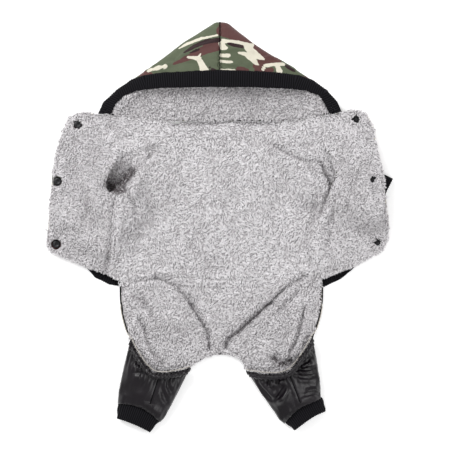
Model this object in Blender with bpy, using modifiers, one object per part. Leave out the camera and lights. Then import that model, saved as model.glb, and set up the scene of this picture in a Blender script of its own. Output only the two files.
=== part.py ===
"""Hooded four-legged dog jumpsuit, unsnapped and laid open on its back, fleece side up.

The hood points along +Y, the hind legs along -Y, and the belly flaps open to -X and +X.
A cloth sheet is a grid of stations that one function places in plan and another in height.
A sleeve, leg, cuff or hood is a flattened oval that lies on its belly: angle 0 is its
underside, 90 degrees its side and 180 degrees its top, and inset is how deep into its
walls a surface lies. All sizes are in metres.
"""

import math
from collections import namedtuple

import bmesh
import bpy
from mathutils import Matrix, Vector
from mathutils.bvhtree import BVHTree

# Cloth
SHELL_THICKNESS = 0.0022
PILE_THICKNESS = 0.0065
SLEEVE_PILE = 0.0040
LEG_PILE = 0.0045
RIB_THICKNESS = 0.0026
WAIST_BAND_THICKNESS = 0.0022
GAP = 0.0003
SEAM_GAP = 0.0006

# Jacket
JACKET_LENGTH = 0.228
NECK_Y = 0.147
CHEST_HALF_WIDTH = 0.155
FLAP_REACH = 0.2432
FLAP_LENGTH = 0.1995
FLAP_RISE = 0.0182
WAIST_BAND_WIDTH = 0.023
FLAP_LIFT_RUNOUT = 0.030

# Snaps
SNAP_RADIUS = 0.0058
SNAP_HEIGHT = 0.0038
SNAP_CAP_HEIGHT = 0.0024
SNAP_POST_RADIUS = 0.0018
SNAP_SOCKET_RADIUS = 0.0024
SNAP_SOCKET_DEPTH = 0.0018
SNAP_STUD_HEIGHT = 0.0020
SNAP_SIDES = 10
SNAP_FLAT = 0.017

# Front sleeves
SLEEVE_REACH = 0.074
SLEEVE_HALF_WIDTH = 0.031
SLEEVE_HEIGHT = 0.022
SLEEVE_LINING_SHARE = 0.55
SLEEVE_FORMED_SHARE = 0.28
SLEEVE_CUFF_LENGTH = 0.018
SLEEVE_CUFF_HALF_WIDTH = 0.027
SLEEVE_CUFF_HEIGHT = 0.0175
SLEEVE_RIM_TUCK = 0.0050
SLEEVE_RIM_DROP = 0.0006
SLEEVE_COVER_RUNOUT = 0.040

# Hood
HOOD_LENGTH = 0.140
HOOD_HALF_WIDTH = 0.171
HOOD_HEIGHT = 0.040
HOOD_PILE = 0.0055

# Trousers
SEAT_LENGTH = 0.1265
LEG_SPREAD = 0.083
MOUTH_Y = -0.1757
MOUTH_DIP = 0.0285
LEG_LENGTH = 0.085
LEG_WIDTH = 0.0933
LEG_HEIGHT = 0.033
LEG_LINING_SHARE = 0.42
LEG_CUFF_LENGTH = 0.0236
LEG_CUFF_WIDTH = 0.0600
LEG_CUFF_HEIGHT = 0.0195
SHELL_LEDGE = 0.0020
CASING_RADIUS = 0.0029
CASING_GATHERS = 12
CASING_PUCKER = 0.20
BINDING_RADIUS = 0.0009

# How flat the underside of a lying oval is: 1 is a true oval.
SAG = 1.3

LINING_BASE = max(SHELL_THICKNESS, WAIST_BAND_THICKNESS) + GAP
SLEEVE_WALL = SHELL_THICKNESS + GAP + SLEEVE_PILE
SLEEVE_COVER = SLEEVE_HEIGHT + SNAP_CAP_HEIGHT + 2 * GAP
ARMHOLE_LIFT = SLEEVE_WALL + SLEEVE_RIM_DROP + GAP
FLAP_LIFT = max(SNAP_CAP_HEIGHT, WAIST_BAND_THICKNESS) + 2 * GAP
WAIST_Y = NECK_Y - JACKET_LENGTH

Side = namedtuple("Side", "name sign")
LEFT = Side("left", -1)
RIGHT = Side("right", 1)
SIDES = (LEFT, RIGHT)

# Side seams from neck to waist: distances from the centre are shares of CHEST_HALF_WIDTH.
Seam = namedtuple("Seam", "along left right")
SEAMS = (
    Seam(along=0.00, left=0.510, right=0.670),
    Seam(along=0.14, left=0.655, right=0.871),
    Seam(along=0.29, left=0.871, right=0.971),
    Seam(along=0.43, left=0.998, right=0.998),
    Seam(along=0.54, left=0.916, right=0.897),
    Seam(along=0.72, left=0.881, right=0.845),
    Seam(along=1.00, left=0.890, right=0.916),
)

# Free edges of the belly flaps: out is a share of FLAP_REACH, down of FLAP_LENGTH.
FlapEdge = namedtuple("FlapEdge", "along left_out left_down right_out right_down")
FLAP_EDGES = (
    FlapEdge(along=0.00, left_out=0.820, left_down=0.018, right_out=0.797, right_down=0.000),
    FlapEdge(along=0.05, left_out=0.866, left_down=0.056, right_out=0.845, right_down=0.040),
    FlapEdge(along=0.14, left_out=0.903, left_down=0.150, right_out=0.880, right_down=0.125),
    FlapEdge(along=0.29, left_out=0.941, left_down=0.296, right_out=0.904, right_down=0.286),
    FlapEdge(along=0.43, left_out=0.964, left_down=0.439, right_out=0.930, right_down=0.423),
    FlapEdge(along=0.62, left_out=0.974, left_down=0.630, right_out=0.950, right_down=0.620),
    FlapEdge(along=0.81, left_out=0.988, left_down=0.830, right_out=0.970, right_down=0.817),
    FlapEdge(along=0.93, left_out=1.000, left_down=0.954, right_out=0.966, right_down=0.935),
    FlapEdge(along=1.00, left_out=0.9815, left_down=1.000, right_out=0.9355, right_down=1.000),
)

# Stations of the jacket grids, which back and flaps share along their seams.
JACKET_ALONG = (0, 0.05, 0.14, 0.22, 0.29, 0.36, 0.43, 0.54, 0.63, 0.72, 0.81, 0.90, 1)
BACK_ACROSS = (0, 0.04, 0.10, 0.18, 0.27, 0.38, 0.50, 0.62, 0.73, 0.82, 0.90, 0.96, 1)
FLAP_ACROSS = (0, 0.08, 0.20, 0.35, 0.50, 0.65, 0.80, 0.92, 1)
BAND_TOP_ALONG = 0.90

# Snaps: across is a share of the flap's width from its seam, along of its length.
Snap = namedtuple("Snap", "side number across along")
SNAPS = (
    Snap(LEFT, 1, across=0.870, along=0.090),
    Snap(LEFT, 2, across=0.905, along=0.485),
    Snap(LEFT, 3, across=0.870, along=0.900),
    Snap(RIGHT, 1, across=0.810, along=0.065),
    Snap(RIGHT, 2, across=0.800, along=0.470),
    Snap(RIGHT, 3, across=0.845, along=0.900),
)

# Armholes and the sleeves in them. The centre is out a share of CHEST_HALF_WIDTH and down
# one of JACKET_LENGTH. The sleeve points at heading, and the armhole's oval is length long
# along the heading and width across it, turned by twist.
Armhole = namedtuple("Armhole", "out down heading length width twist")
ARMHOLES = {
    LEFT: Armhole(out=0.899, down=0.307, heading=240, length=0.068, width=0.028, twist=0),
    RIGHT: Armhole(out=0.952, down=0.272, heading=-27, length=0.022, width=0.060, twist=45),
}
SLEEVE_REACH_SHARE = {LEFT: 1.10, RIGHT: 1.0}

# Hood outline from neck to peak: half widths and height are shares of HOOD_HALF_WIDTH and
# HOOD_HEIGHT, and lift is how far the section's underside is off the table.
HoodSection = namedtuple("HoodSection", "along left right height lift")
HOOD_SECTIONS = (
    HoodSection(along=0.00, left=1.005, right=1.020, height=0.50, lift=0.0),
    HoodSection(along=0.08, left=0.996, right=1.000, height=0.56, lift=0.0),
    HoodSection(along=0.18, left=0.965, right=0.965, height=0.68, lift=0.0),
    HoodSection(along=0.26, left=0.900, right=0.935, height=0.80, lift=0.0),
    HoodSection(along=0.36, left=0.795, right=0.815, height=0.95, lift=0.0),
    HoodSection(along=0.44, left=0.700, right=0.725, height=1.00, lift=0.0),
    HoodSection(along=0.53, left=0.585, right=0.620, height=1.00, lift=0.0),
    HoodSection(along=0.60, left=0.505, right=0.510, height=0.96, lift=0.0),
    HoodSection(along=0.79, left=0.300, right=0.260, height=0.80, lift=0.001),
    HoodSection(along=0.92, left=0.130, right=0.130, height=0.56, lift=0.002),
    HoodSection(along=0.985, left=0.050, right=0.068, height=0.30, lift=0.004),
    HoodSection(along=1.00, left=0.000, right=0.000, height=0.00, lift=0.010),
)

# The hood's opening, from the neck round the side to the forehead: where the rib band joins
# the shell and where it ends at the face, as angles and as shares of HOOD_LENGTH.
HoodEdge = namedtuple("HoodEdge", "join_angle join_along open_angle open_along")
HOOD_EDGES = (
    HoodEdge(join_angle=58, join_along=0.070, open_angle=116, open_along=0.085),
    HoodEdge(join_angle=64, join_along=0.200, open_angle=117, open_along=0.180),
    HoodEdge(join_angle=78, join_along=0.340, open_angle=119, open_along=0.260),
    HoodEdge(join_angle=96, join_along=0.415, open_angle=126, open_along=0.305),
    HoodEdge(join_angle=112, join_along=0.455, open_angle=138, open_along=0.325),
    HoodEdge(join_angle=135, join_along=0.480, open_angle=150, open_along=0.335),
    HoodEdge(join_angle=158, join_along=0.492, open_angle=165, open_along=0.340),
    HoodEdge(join_angle=180, join_along=0.500, open_angle=180, open_along=0.342),
)
HOOD_LOWER_ANGLES = (0, 20, 40)
HOOD_ALONG = (0, 0.12, 0.27, 0.43, 0.60, 0.76, 0.90, 0.975, 1)
HOOD_LINING_ANGLES = (20, 40, 58, 66, 72, 78, 84, 90, 96, 104, 112, 122, 135, 158, 180)
HOOD_LINING_ALONG = (0, 0.10, 0.21, 0.33, 0.47, 0.64, 0.84, 1)
HOOD_SLACK = 0.0038
HOOD_SEAM_TURN = 1.5

# Hind legs from mouth to cuff: widths and heights are shares of LEG_WIDTH and LEG_HEIGHT,
# and turn is how far the section is turned from square to the leg.
LegSection = namedtuple("LegSection", "along left_width right_width left_turn right_turn height")
LEG_SECTIONS = (
    LegSection(along=0.00, left_width=1.000, right_width=1.130, left_turn=6, right_turn=6, height=1.00),
    LegSection(along=0.50, left_width=0.900, right_width=0.950, left_turn=5, right_turn=9, height=0.96),
    LegSection(along=0.88, left_width=0.795, right_width=0.775, left_turn=4, right_turn=11, height=0.86),
    LegSection(along=1.00, left_width=0.700, right_width=0.665, left_turn=4, right_turn=11, height=0.66),
)
LEG_SPLAY = {LEFT: 19.7, RIGHT: 21.8}
LEG_CUFF_SPLAY = {LEFT: 23.2, RIGHT: 33.0}
LEG_CUFF_SHARE = {LEFT: 1.0, RIGHT: 0.85}
SLEEVE_ALONG = (0, 0.09, 0.18, 0.28, 0.65, 1)
LEG_ALONG = (0, 0.12, 0.42, 0.70, 0.88, 1)
LEG_LINING_ALONG = (0.02, 0.12, 0.42)
CUFF_ALONG = (0, 0.5, 1)
RING_ANGLES = (0, 30, 52, 72, 90, 108, 128, 150, 180, 210, 232, 252, 270, 288, 308, 330, 360)

# The lower edge of the seat between the legs, as shares of LEG_SPREAD and SEAT_LENGTH.
Crotch = namedtuple("Crotch", "out down")
CROTCH = (
    Crotch(out=-0.255, down=0.800),
    Crotch(out=0.030, down=0.762),
    Crotch(out=0.330, down=0.800),
)
SEAT_TOP = (0, 0.06, 0.14, 0.24, 0.34, 0.43, 0.51, 0.59, 0.66, 0.76, 0.86, 0.94, 1)
SEAT_ALONG = (0, 0.12, 0.26, 0.40, 0.54, 0.68, 0.80, 0.91, 1)
LEG_MOUTH_ANGLES = (270, 330, 0, 30, 90)

# Main folds of the lining. Mounds are ovals of the given height, and ridges run from one
# end to the other. Places are shares of FLAP_REACH outwards and of JACKET_LENGTH down
# from the neck, and heights are shares of PILE_THICKNESS.
Ridge = namedtuple("Ridge", "out down out_end down_end width height")
RIDGES = (
    Ridge(out=-0.400, down=0.12, out_end=-0.545, down_end=0.44, width=0.011, height=0.95),
    Ridge(out=-0.560, down=0.50, out_end=-0.545, down_end=0.92, width=0.010, height=0.75),
    Ridge(out=0.500, down=0.20, out_end=0.600, down_end=0.30, width=0.009, height=0.70),
    Ridge(out=0.610, down=0.46, out_end=0.545, down_end=0.92, width=0.011, height=0.70),
    Ridge(out=-0.760, down=0.15, out_end=-0.900, down_end=0.75, width=0.030, height=0.35),
    Ridge(out=0.780, down=0.10, out_end=0.860, down_end=0.75, width=0.028, height=0.35),
    Ridge(out=-0.250, down=-0.02, out_end=0.300, down_end=-0.02, width=0.012, height=-0.45),
    Ridge(out=-0.200, down=0.91, out_end=0.420, down_end=0.91, width=0.008, height=-0.35),
)
Mound = namedtuple("Mound", "out down length width turn height")
MOUNDS = (
    Mound(out=-0.285, down=1.21, length=0.092, width=0.070, turn=118, height=2.0),
    Mound(out=0.300, down=1.25, length=0.110, width=0.062, turn=48, height=1.9),
    Mound(out=0.010, down=0.45, length=0.200, width=0.170, turn=90, height=0.35),
)

# The rib hem of the jacket, from the left tip round under the back to the right tip.
# Out is a share of FLAP_REACH, and down one of JACKET_LENGTH for the lower edge.
BandStation = namedtuple("BandStation", "out down lean width")
BAND_STATIONS = (
    BandStation(out=-0.783, down=0.880, lean=0.046, width=0.86),
    BandStation(out=-0.717, down=0.958, lean=0.040, width=0.95),
    BandStation(out=-0.636, down=1.000, lean=0.017, width=1.00),
    BandStation(out=-0.567, down=1.012, lean=0.006, width=1.00),
    BandStation(out=0.000, down=0.998, lean=0.000, width=1.00),
    BandStation(out=0.590, down=1.018, lean=-0.006, width=1.00),
    BandStation(out=0.699, down=0.964, lean=-0.035, width=0.95),
    BandStation(out=0.785, down=0.885, lean=-0.052, width=0.86),
)

Paint = namedtuple("Paint", "colour roughness metallic")
FLEECE = Paint(colour=(0.55, 0.53, 0.53), roughness=0.95, metallic=0.0)
CAMOUFLAGE = Paint(colour=(0.11, 0.13, 0.09), roughness=0.55, metallic=0.0)
BLACK_NYLON = Paint(colour=(0.03, 0.028, 0.032), roughness=0.35, metallic=0.0)
BLACK_RIB = Paint(colour=(0.010, 0.010, 0.012), roughness=0.90, metallic=0.0)
PALE_BINDING = Paint(colour=(0.62, 0.60, 0.57), roughness=0.80, metallic=0.0)
SNAP_BLACK = Paint(colour=(0.012, 0.013, 0.016), roughness=0.35, metallic=0.0)


def smooth(share):
    """0 below 0 and 1 above 1, with a smooth rise between."""
    share = min(max(share, 0.0), 1.0)
    return share * share * (3 - 2 * share)


def blend(start, end, share):
    return start + (end - start) * share


def read(rows, key, column, at):
    """The column's value where the key column has the value at, on straight lines between rows."""
    last = rows[0]
    for row in rows[1:]:
        if at <= getattr(row, key):
            span = getattr(row, key) - getattr(last, key)
            share = (at - getattr(last, key)) / span
            return blend(getattr(last, column), getattr(row, column), min(max(share, 0), 1))
        last = row
    return getattr(last, column)


# Making objects


def clear_scene():
    for thing in list(bpy.data.objects):
        bpy.data.objects.remove(thing)


def make_collection(name, hidden=False):
    collection = bpy.data.collections.new(name)
    collection.hide_render = hidden
    bpy.context.scene.collection.children.link(collection)
    return collection


def paint(thing, finish):
    material = bpy.data.materials.new(thing.name)
    material.use_nodes = True
    shader = material.node_tree.nodes["Principled BSDF"]
    shader.inputs["Base Color"].default_value = (*finish.colour, 1)
    shader.inputs["Roughness"].default_value = finish.roughness
    shader.inputs["Metallic"].default_value = finish.metallic
    thing.data.materials.append(material)


def place(thing, finish):
    """Puts a finished piece in the garment's collection, under its root."""
    PARTS.objects.link(thing)
    thing.parent = ROOT
    paint(thing, finish)
    return thing


def cloth(name, finish, across, along, front, back, ring=False):
    """A wall of cloth between two surfaces over one grid of stations, closed at its edges.

    front and back take (across, along) stations and return a point. A ring's first and last
    stations across meet and are joined, and rows that end in one point become a pole.
    """
    grid = bmesh.new()
    share_across = grid.verts.layers.float.new("across")
    share_along = grid.verts.layers.float.new("along")
    cells = (len(across) - 1, len(along) - 1)
    bmesh.ops.create_grid(grid, x_segments=cells[0], y_segments=cells[1], size=0.5)
    for vertex in grid.verts:
        vertex[share_across] = across[round((vertex.co.x + 0.5) * cells[0])]
        vertex[share_along] = along[round((vertex.co.y + 0.5) * cells[1])]
        vertex.co = front(vertex[share_across], vertex[share_along])
    if ring:
        bmesh.ops.remove_doubles(grid, verts=grid.verts, dist=1e-6)
    bmesh.ops.triangulate(grid, faces=grid.faces[:], quad_method="FIXED")
    walls = bmesh.ops.extrude_face_region(grid, geom=grid.faces[:])
    for vertex in walls["geom"]:
        if isinstance(vertex, bmesh.types.BMVert):
            vertex.co = back(vertex[share_across], vertex[share_along])
    bmesh.ops.recalc_face_normals(grid, faces=grid.faces)
    mesh = bpy.data.meshes.new(name)
    grid.to_mesh(mesh)
    grid.free()
    mesh.shade_smooth()
    mesh.set_sharp_from_angle(angle=math.radians(50))
    return place(bpy.data.objects.new(name, mesh), finish)


def tube(name, finish, points, radii, sides=1):
    """A soft round cord through the points, each with its own radius share."""
    curve = bpy.data.curves.new(name, "CURVE")
    curve.dimensions = "3D"
    curve.bevel_depth = 1.0
    curve.bevel_resolution = sides
    curve.use_fill_caps = True
    spline = curve.splines.new("POLY")
    spline.points.add(len(points) - 1)
    for knot, point, radius in zip(spline.points, points, radii):
        knot.co = (*point, 1)
        knot.radius = radius
    return place(bpy.data.objects.new(name, curve), finish)


def cut(thing, cutter):
    hole = thing.modifiers.new(cutter.name, "BOOLEAN")
    hole.operation = "DIFFERENCE"
    hole.object = cutter


def make_cutter(name, radii, depth, matrix, sides):
    """An upright oval cylinder that cuts a hole through the cloth around the matrix's origin."""
    bpy.ops.mesh.primitive_cylinder_add(vertices=sides, radius=1, depth=1)
    cutter = bpy.context.object
    cutter.name = name
    for holder in cutter.users_collection:
        holder.objects.unlink(cutter)
    CUTTERS.objects.link(cutter)
    cutter.data.transform(Matrix.Diagonal((*radii, depth, 1)))
    cutter.matrix_world = matrix
    cutter.hide_render = True
    cutter.display_type = "WIRE"
    return cutter


# Ovals that lie on their bellies


def lying_oval(angle, half_width, height, inset):
    """(across, up) at this angle of a flattened oval, inset below its outer surface."""
    turned = math.radians(angle)
    across = max(half_width - inset, 0.1 * half_width) * math.sin(turned)
    tall = max(height - 2 * inset, 0.1 * height)
    up = (height - tall) / 2 + tall * ((1 - math.cos(turned)) / 2) ** SAG
    return across, up


# The jacket's plan: seams, flaps, armholes


def seam_point(side, along):
    out = read(SEAMS, "along", side.name, along) * CHEST_HALF_WIDTH
    return Vector((side.sign * out, NECK_Y - along * JACKET_LENGTH))


def flap_edge_point(side, along):
    out = read(FLAP_EDGES, "along", side.name + "_out", along) * FLAP_REACH
    down = read(FLAP_EDGES, "along", side.name + "_down", along) * FLAP_LENGTH
    return Vector((side.sign * out, NECK_Y + FLAP_RISE - down))


def flap_point(side, across, along):
    inner = seam_point(side, along)
    inner.x += side.sign * SEAM_GAP / 2
    return inner.lerp(flap_edge_point(side, along), across)


def back_point(across, along):
    left = seam_point(LEFT, along) + Vector((SEAM_GAP / 2, 0))
    right = seam_point(RIGHT, along) - Vector((SEAM_GAP / 2, 0))
    return left.lerp(right, across)


def neck_y(x):
    """Where the neck seam is, on the line from flap corner to seam to seam to flap corner."""
    side = LEFT if x < 0 else RIGHT
    inner, outer = seam_point(side, 0), flap_edge_point(side, 0)
    share = (abs(x) - abs(inner.x)) / (abs(outer.x) - abs(inner.x))
    return blend(inner.y, outer.y, max(share, 0))


def heading(side):
    turned = math.radians(ARMHOLES[side].heading)
    return Vector((math.cos(turned), math.sin(turned)))


def sideways(side):
    ahead = heading(side)
    return Vector((-ahead.y, ahead.x))


def armhole_centre(side):
    hole = ARMHOLES[side]
    return Vector((side.sign * hole.out * CHEST_HALF_WIDTH, NECK_Y - hole.down * JACKET_LENGTH))


def armhole_radius(side, angle):
    """The oval's radius in the direction angle, counted from straight back along the sleeve."""
    hole = ARMHOLES[side]
    turned = math.radians(angle + hole.twist)
    long, wide = hole.length / 2, hole.width / 2
    return long * wide / math.hypot(wide * math.cos(turned), long * math.sin(turned))


def sleeve_frame(side, point):
    """(along, across) of a plan point, from the armhole's centre along the sleeve."""
    offset = point - armhole_centre(side)
    return offset.dot(heading(side)), offset.dot(sideways(side))


def sleeve_reach(side):
    return SLEEVE_REACH * SLEEVE_REACH_SHARE[side]


# The height of the jacket's underside


def sleeve_cover(side, point):
    """The sheet lies over the sleeve beneath it and runs out to the table around it."""
    along, across = sleeve_frame(side, point)
    beyond = max(-along, along - sleeve_reach(side) - SLEEVE_CUFF_LENGTH, 0)
    beside = max(abs(across) - SLEEVE_HALF_WIDTH, 0)
    return SLEEVE_COVER * (1 - smooth(math.hypot(beyond, beside) / SLEEVE_COVER_RUNOUT))


def armhole_lift(side, point):
    along, across = sleeve_frame(side, point)
    angle = math.degrees(math.atan2(across, -along))
    outside = math.hypot(along, across) - armhole_radius(side, angle) - SLEEVE_RIM_TUCK
    return ARMHOLE_LIFT * (1 - smooth(outside / SLEEVE_COVER_RUNOUT))


def rise(side, point):
    """The sheet's height over whatever lies beneath it."""
    along = (NECK_Y - point.y) / JACKET_LENGTH
    seam = read(SEAMS, "along", side.name, along) * CHEST_HALF_WIDTH
    edge = FLAP_LIFT * smooth((abs(point.x) - seam) / FLAP_LIFT_RUNOUT + 1)
    heights = (edge, sleeve_cover(side, point), armhole_lift(side, point))
    return sum(height**3 for height in heights) ** (1 / 3)


def ground(point):
    """How far the underside of the jacket is off the table: it is flat around each snap."""
    side = LEFT if point.x < 0 else RIGHT
    height = rise(side, point)
    for snap in SNAPS:
        centre = flap_point(snap.side, snap.across, snap.along)
        near = 1 - smooth(((point - centre).length - SNAP_FLAT) / SNAP_FLAT)
        if near > 0:
            height = blend(height, rise(snap.side, centre), near)
    return height


def relief(point):
    """The folds of the lining above its own pile."""
    total = 0.0
    for row in RIDGES:
        start = Vector((row.out * FLAP_REACH, NECK_Y - row.down * JACKET_LENGTH))
        end = Vector((row.out_end * FLAP_REACH, NECK_Y - row.down_end * JACKET_LENGTH))
        line = end - start
        share = min(max((point - start).dot(line) / line.length_squared, 0), 1)
        apart = (point - start - line * share).length / row.width
        total += row.height * math.exp(-(apart**2))
    for row in MOUNDS:
        centre = Vector((row.out * FLAP_REACH, NECK_Y - row.down * JACKET_LENGTH))
        turned = math.radians(row.turn)
        offset = point - centre
        long = offset.x * math.cos(turned) + offset.y * math.sin(turned)
        wide = offset.y * math.cos(turned) - offset.x * math.sin(turned)
        apart = math.hypot(2 * long / row.length, 2 * wide / row.width)
        total += row.height * (1 - smooth(apart))
    return total * PILE_THICKNESS


def edge_round(across, along, ends=(True, True)):
    """The pile's share of its full height: it is laid down at the free edges of a sheet."""
    near = min(along, 1 - along)
    if ends[0]:
        near = min(near, across)
    if ends[1]:
        near = min(near, 1 - across)
    return 0.62 + 0.38 * smooth(near / 0.08)


# Jacket


def make_jacket_back():
    def shell(up):
        def point(across, along):
            plan = back_point(across, along)
            return Vector((plan.x, plan.y, ground(plan) + up))
        return point

    def lining_bottom(across, along):
        plan = back_point(across, along)
        hollow = max(relief(plan) - PILE_THICKNESS / 2, 0) * smooth(min(along, 1 - along) / 0.1)
        return Vector((plan.x, plan.y, ground(plan) + LINING_BASE + hollow))

    def lining_top(across, along):
        low = lining_bottom(across, along)
        fold = min(max(relief(low.xy), -PILE_THICKNESS / 2), PILE_THICKNESS / 2)
        return low + Vector((0, 0, PILE_THICKNESS * edge_round(across, along, (False, False)) + fold))

    above_band = tuple(along for along in JACKET_ALONG if along <= BAND_TOP_ALONG)
    outside = cloth(
        "jacket_back_shell", CAMOUFLAGE, BACK_ACROSS, above_band, shell(SHELL_THICKNESS), shell(0)
    )
    inside = cloth(
        "jacket_back_lining", FLEECE, BACK_ACROSS, JACKET_ALONG, lining_top, lining_bottom
    )
    return [outside, inside]


def make_flap(side):
    def shell(up):
        def point(across, along):
            plan = flap_point(side, across, along)
            return Vector((plan.x, plan.y, ground(plan) + up))
        return point

    def lining_top(across, along):
        low = shell(LINING_BASE)(across, along)
        fold = min(max(relief(low.xy), -PILE_THICKNESS / 2), PILE_THICKNESS)
        return low + Vector((0, 0, PILE_THICKNESS * edge_round(across, along, (False, True)) + fold))

    outside = cloth(
        f"flap_shell_{side.name}", CAMOUFLAGE, FLAP_ACROSS, JACKET_ALONG, shell(SHELL_THICKNESS), shell(0)
    )
    inside = cloth(
        f"flap_lining_{side.name}", FLEECE, FLAP_ACROSS, JACKET_ALONG, lining_top, shell(LINING_BASE)
    )
    return [outside, inside]


def cut_armhole(side, sheets):
    hole = ARMHOLES[side]
    centre = armhole_centre(side)
    turned = math.radians(hole.heading + hole.twist)
    matrix = Matrix.Translation((*centre, SLEEVE_COVER)) @ Matrix.Rotation(turned, 4, "Z")
    depth = 6 * (SLEEVE_COVER + PILE_THICKNESS)
    cutter = make_cutter(
        f"armhole_{side.name}", (hole.length / 2, hole.width / 2), depth, matrix, sides=20
    )
    for sheet in sheets:
        cut(sheet, cutter)


def band_low_y(x):
    return NECK_Y - read(BAND_STATIONS, "out", "down", x / FLAP_REACH) * JACKET_LENGTH


def make_waist_band():
    """One flat strip of rib: it shows past the flaps and runs on under the back."""
    stations = tuple(range(len(BAND_STATIONS)))

    def strip(up):
        def point(station, up_share):
            row = BAND_STATIONS[round(station)]
            low = Vector((row.out * FLAP_REACH, NECK_Y - row.down * JACKET_LENGTH))
            wide = row.width * WAIST_BAND_WIDTH - 2 * SEAM_GAP
            lean = row.lean * FLAP_REACH
            rise = Vector((lean, math.sqrt(max(wide**2 - lean**2, 0))))
            plan = low + rise * up_share
            return Vector((plan.x, plan.y, up))
        return point

    cloth("waist_rib_band", BLACK_RIB, stations, (0, 1), strip(WAIST_BAND_THICKNESS), strip(0))


# Snaps


def snap_matrix(snap):
    """The snap stands on the flap, with its zero level at the shell's underside."""
    plan = flap_point(snap.side, snap.across, snap.along)
    return Matrix.Translation((plan.x, plan.y, ground(plan)))


def snap_profile(side):
    """Half of the snap's outline as (radius, height), from the top of its axis to the foot."""
    seat = LINING_BASE
    top = seat + SNAP_HEIGHT
    foot = -GAP - SNAP_CAP_HEIGHT
    if side is LEFT:
        crown = [
            (0, top - SNAP_SOCKET_DEPTH),
            (SNAP_SOCKET_RADIUS, top - SNAP_SOCKET_DEPTH),
            (SNAP_SOCKET_RADIUS, top),
            (0.88 * SNAP_RADIUS, top),
            (SNAP_RADIUS, top - 0.2 * SNAP_HEIGHT),
        ]
    else:
        flat = top - SNAP_STUD_HEIGHT
        crown = [
            (0, top),
            (0.75 * SNAP_SOCKET_RADIUS, top),
            (0.95 * SNAP_SOCKET_RADIUS, top - 0.35 * SNAP_STUD_HEIGHT),
            (0.8 * SNAP_SOCKET_RADIUS, flat),
            (SNAP_RADIUS, flat),
        ]
    return crown + [
        (SNAP_RADIUS, seat),
        (SNAP_POST_RADIUS, seat),
        (SNAP_POST_RADIUS, -GAP),
        (SNAP_RADIUS, -GAP),
        (0.8 * SNAP_RADIUS, foot),
        (0, foot),
    ]


def make_snap(snap, shell, lining):
    name = f"snap_{snap.side.name}_{snap.number}"
    outline = snap_profile(snap.side)
    mesh = bpy.data.meshes.new(name)
    corners = [(radius, 0, up) for radius, up in outline]
    mesh.from_pydata(corners, [(i, i + 1) for i in range(len(corners) - 1)], [])
    thing = place(bpy.data.objects.new(name, mesh), SNAP_BLACK)
    turned = thing.modifiers.new("turned", "SCREW")
    turned.axis = "Z"
    turned.steps = SNAP_SIDES
    turned.render_steps = SNAP_SIDES
    turned.use_merge_vertices = True
    turned.merge_threshold = 1e-5
    turned.use_smooth_shade = True
    matrix = snap_matrix(snap)
    thing.matrix_world = matrix
    depth = 4 * (LINING_BASE + PILE_THICKNESS)
    for sheet, radius in ((shell, SNAP_POST_RADIUS), (lining, SNAP_RADIUS)):
        loose = radius + 2 * GAP
        hole = make_cutter(f"{sheet.name}_hole_{snap.number}", (loose, loose), depth, matrix, SNAP_SIDES)
        cut(sheet, hole)


# Front sleeves


def underside(sheets, plan):
    """How far the faceted underside of these uncut sheets is off the table at this point."""
    for sheet in sheets:
        hit = sheet.ray_cast(Vector((plan.x, plan.y, -1)), Vector((0, 0, 1)))[0]
        if hit:
            return hit.z
    return ground(plan)


def sleeve_point(side, sheets, angle, along, inset, reach):
    """A point on the sleeve: at along 0 it is under the armhole's rim, at 1 it is reach away."""
    rim = armhole_radius(side, angle) + SLEEVE_RIM_TUCK - inset
    turned = math.radians(angle)
    ahead, beside = heading(side), sideways(side)
    start = armhole_centre(side) + rim * (beside * math.sin(turned) - ahead * math.cos(turned))
    under = (1 + math.cos(turned)) / 2
    depth = (SLEEVE_WALL - inset) * under + inset * (1 - under)
    start_up = underside(sheets, start) - SLEEVE_RIM_DROP - depth
    across, up = lying_oval(angle, SLEEVE_HALF_WIDTH, SLEEVE_HEIGHT, inset)
    start_along, start_across = sleeve_frame(side, start)
    formed = smooth(along / SLEEVE_FORMED_SHARE)
    plan = armhole_centre(side) + ahead * blend(start_along, reach, along)
    plan += beside * blend(start_across, across, formed)
    return Vector((plan.x, plan.y, blend(start_up, up, formed)))


def make_sleeve(side, shells):
    reach = sleeve_reach(side)
    sheets = []
    for shell in shells:
        corners = [vertex.co for vertex in shell.data.vertices]
        sheets.append(BVHTree.FromPolygons(corners, [face.vertices for face in shell.data.polygons]))

    def surface(inset):
        return lambda angle, along: sleeve_point(side, sheets, angle, along, inset, reach)

    cloth(
        f"sleeve_shell_{side.name}", CAMOUFLAGE, RING_ANGLES, SLEEVE_ALONG,
        surface(0), surface(SHELL_THICKNESS), ring=True,
    )
    inner = SHELL_THICKNESS + GAP
    stations = tuple(share for share in SLEEVE_ALONG if share < SLEEVE_LINING_SHARE)
    stations += (SLEEVE_LINING_SHARE,)
    cloth(
        f"sleeve_lining_{side.name}", FLEECE, RING_ANGLES, stations,
        surface(inner), surface(inner + SLEEVE_PILE), ring=True,
    )


def make_sleeve_cuff(side):
    start = armhole_centre(side) + heading(side) * (sleeve_reach(side) + SEAM_GAP)

    def surface(inset):
        def point(angle, along):
            flare = 1 + 0.03 * math.cos(2 * math.pi * along)
            across, up = lying_oval(
                angle, SLEEVE_CUFF_HALF_WIDTH * flare, SLEEVE_CUFF_HEIGHT, inset
            )
            plan = start + heading(side) * along * SLEEVE_CUFF_LENGTH + sideways(side) * across
            return Vector((plan.x, plan.y, up))
        return point

    cloth(
        f"sleeve_cuff_{side.name}", BLACK_RIB, RING_ANGLES, (0, 1),
        surface(0), surface(RIB_THICKNESS), ring=True,
    )


# Hood


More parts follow.
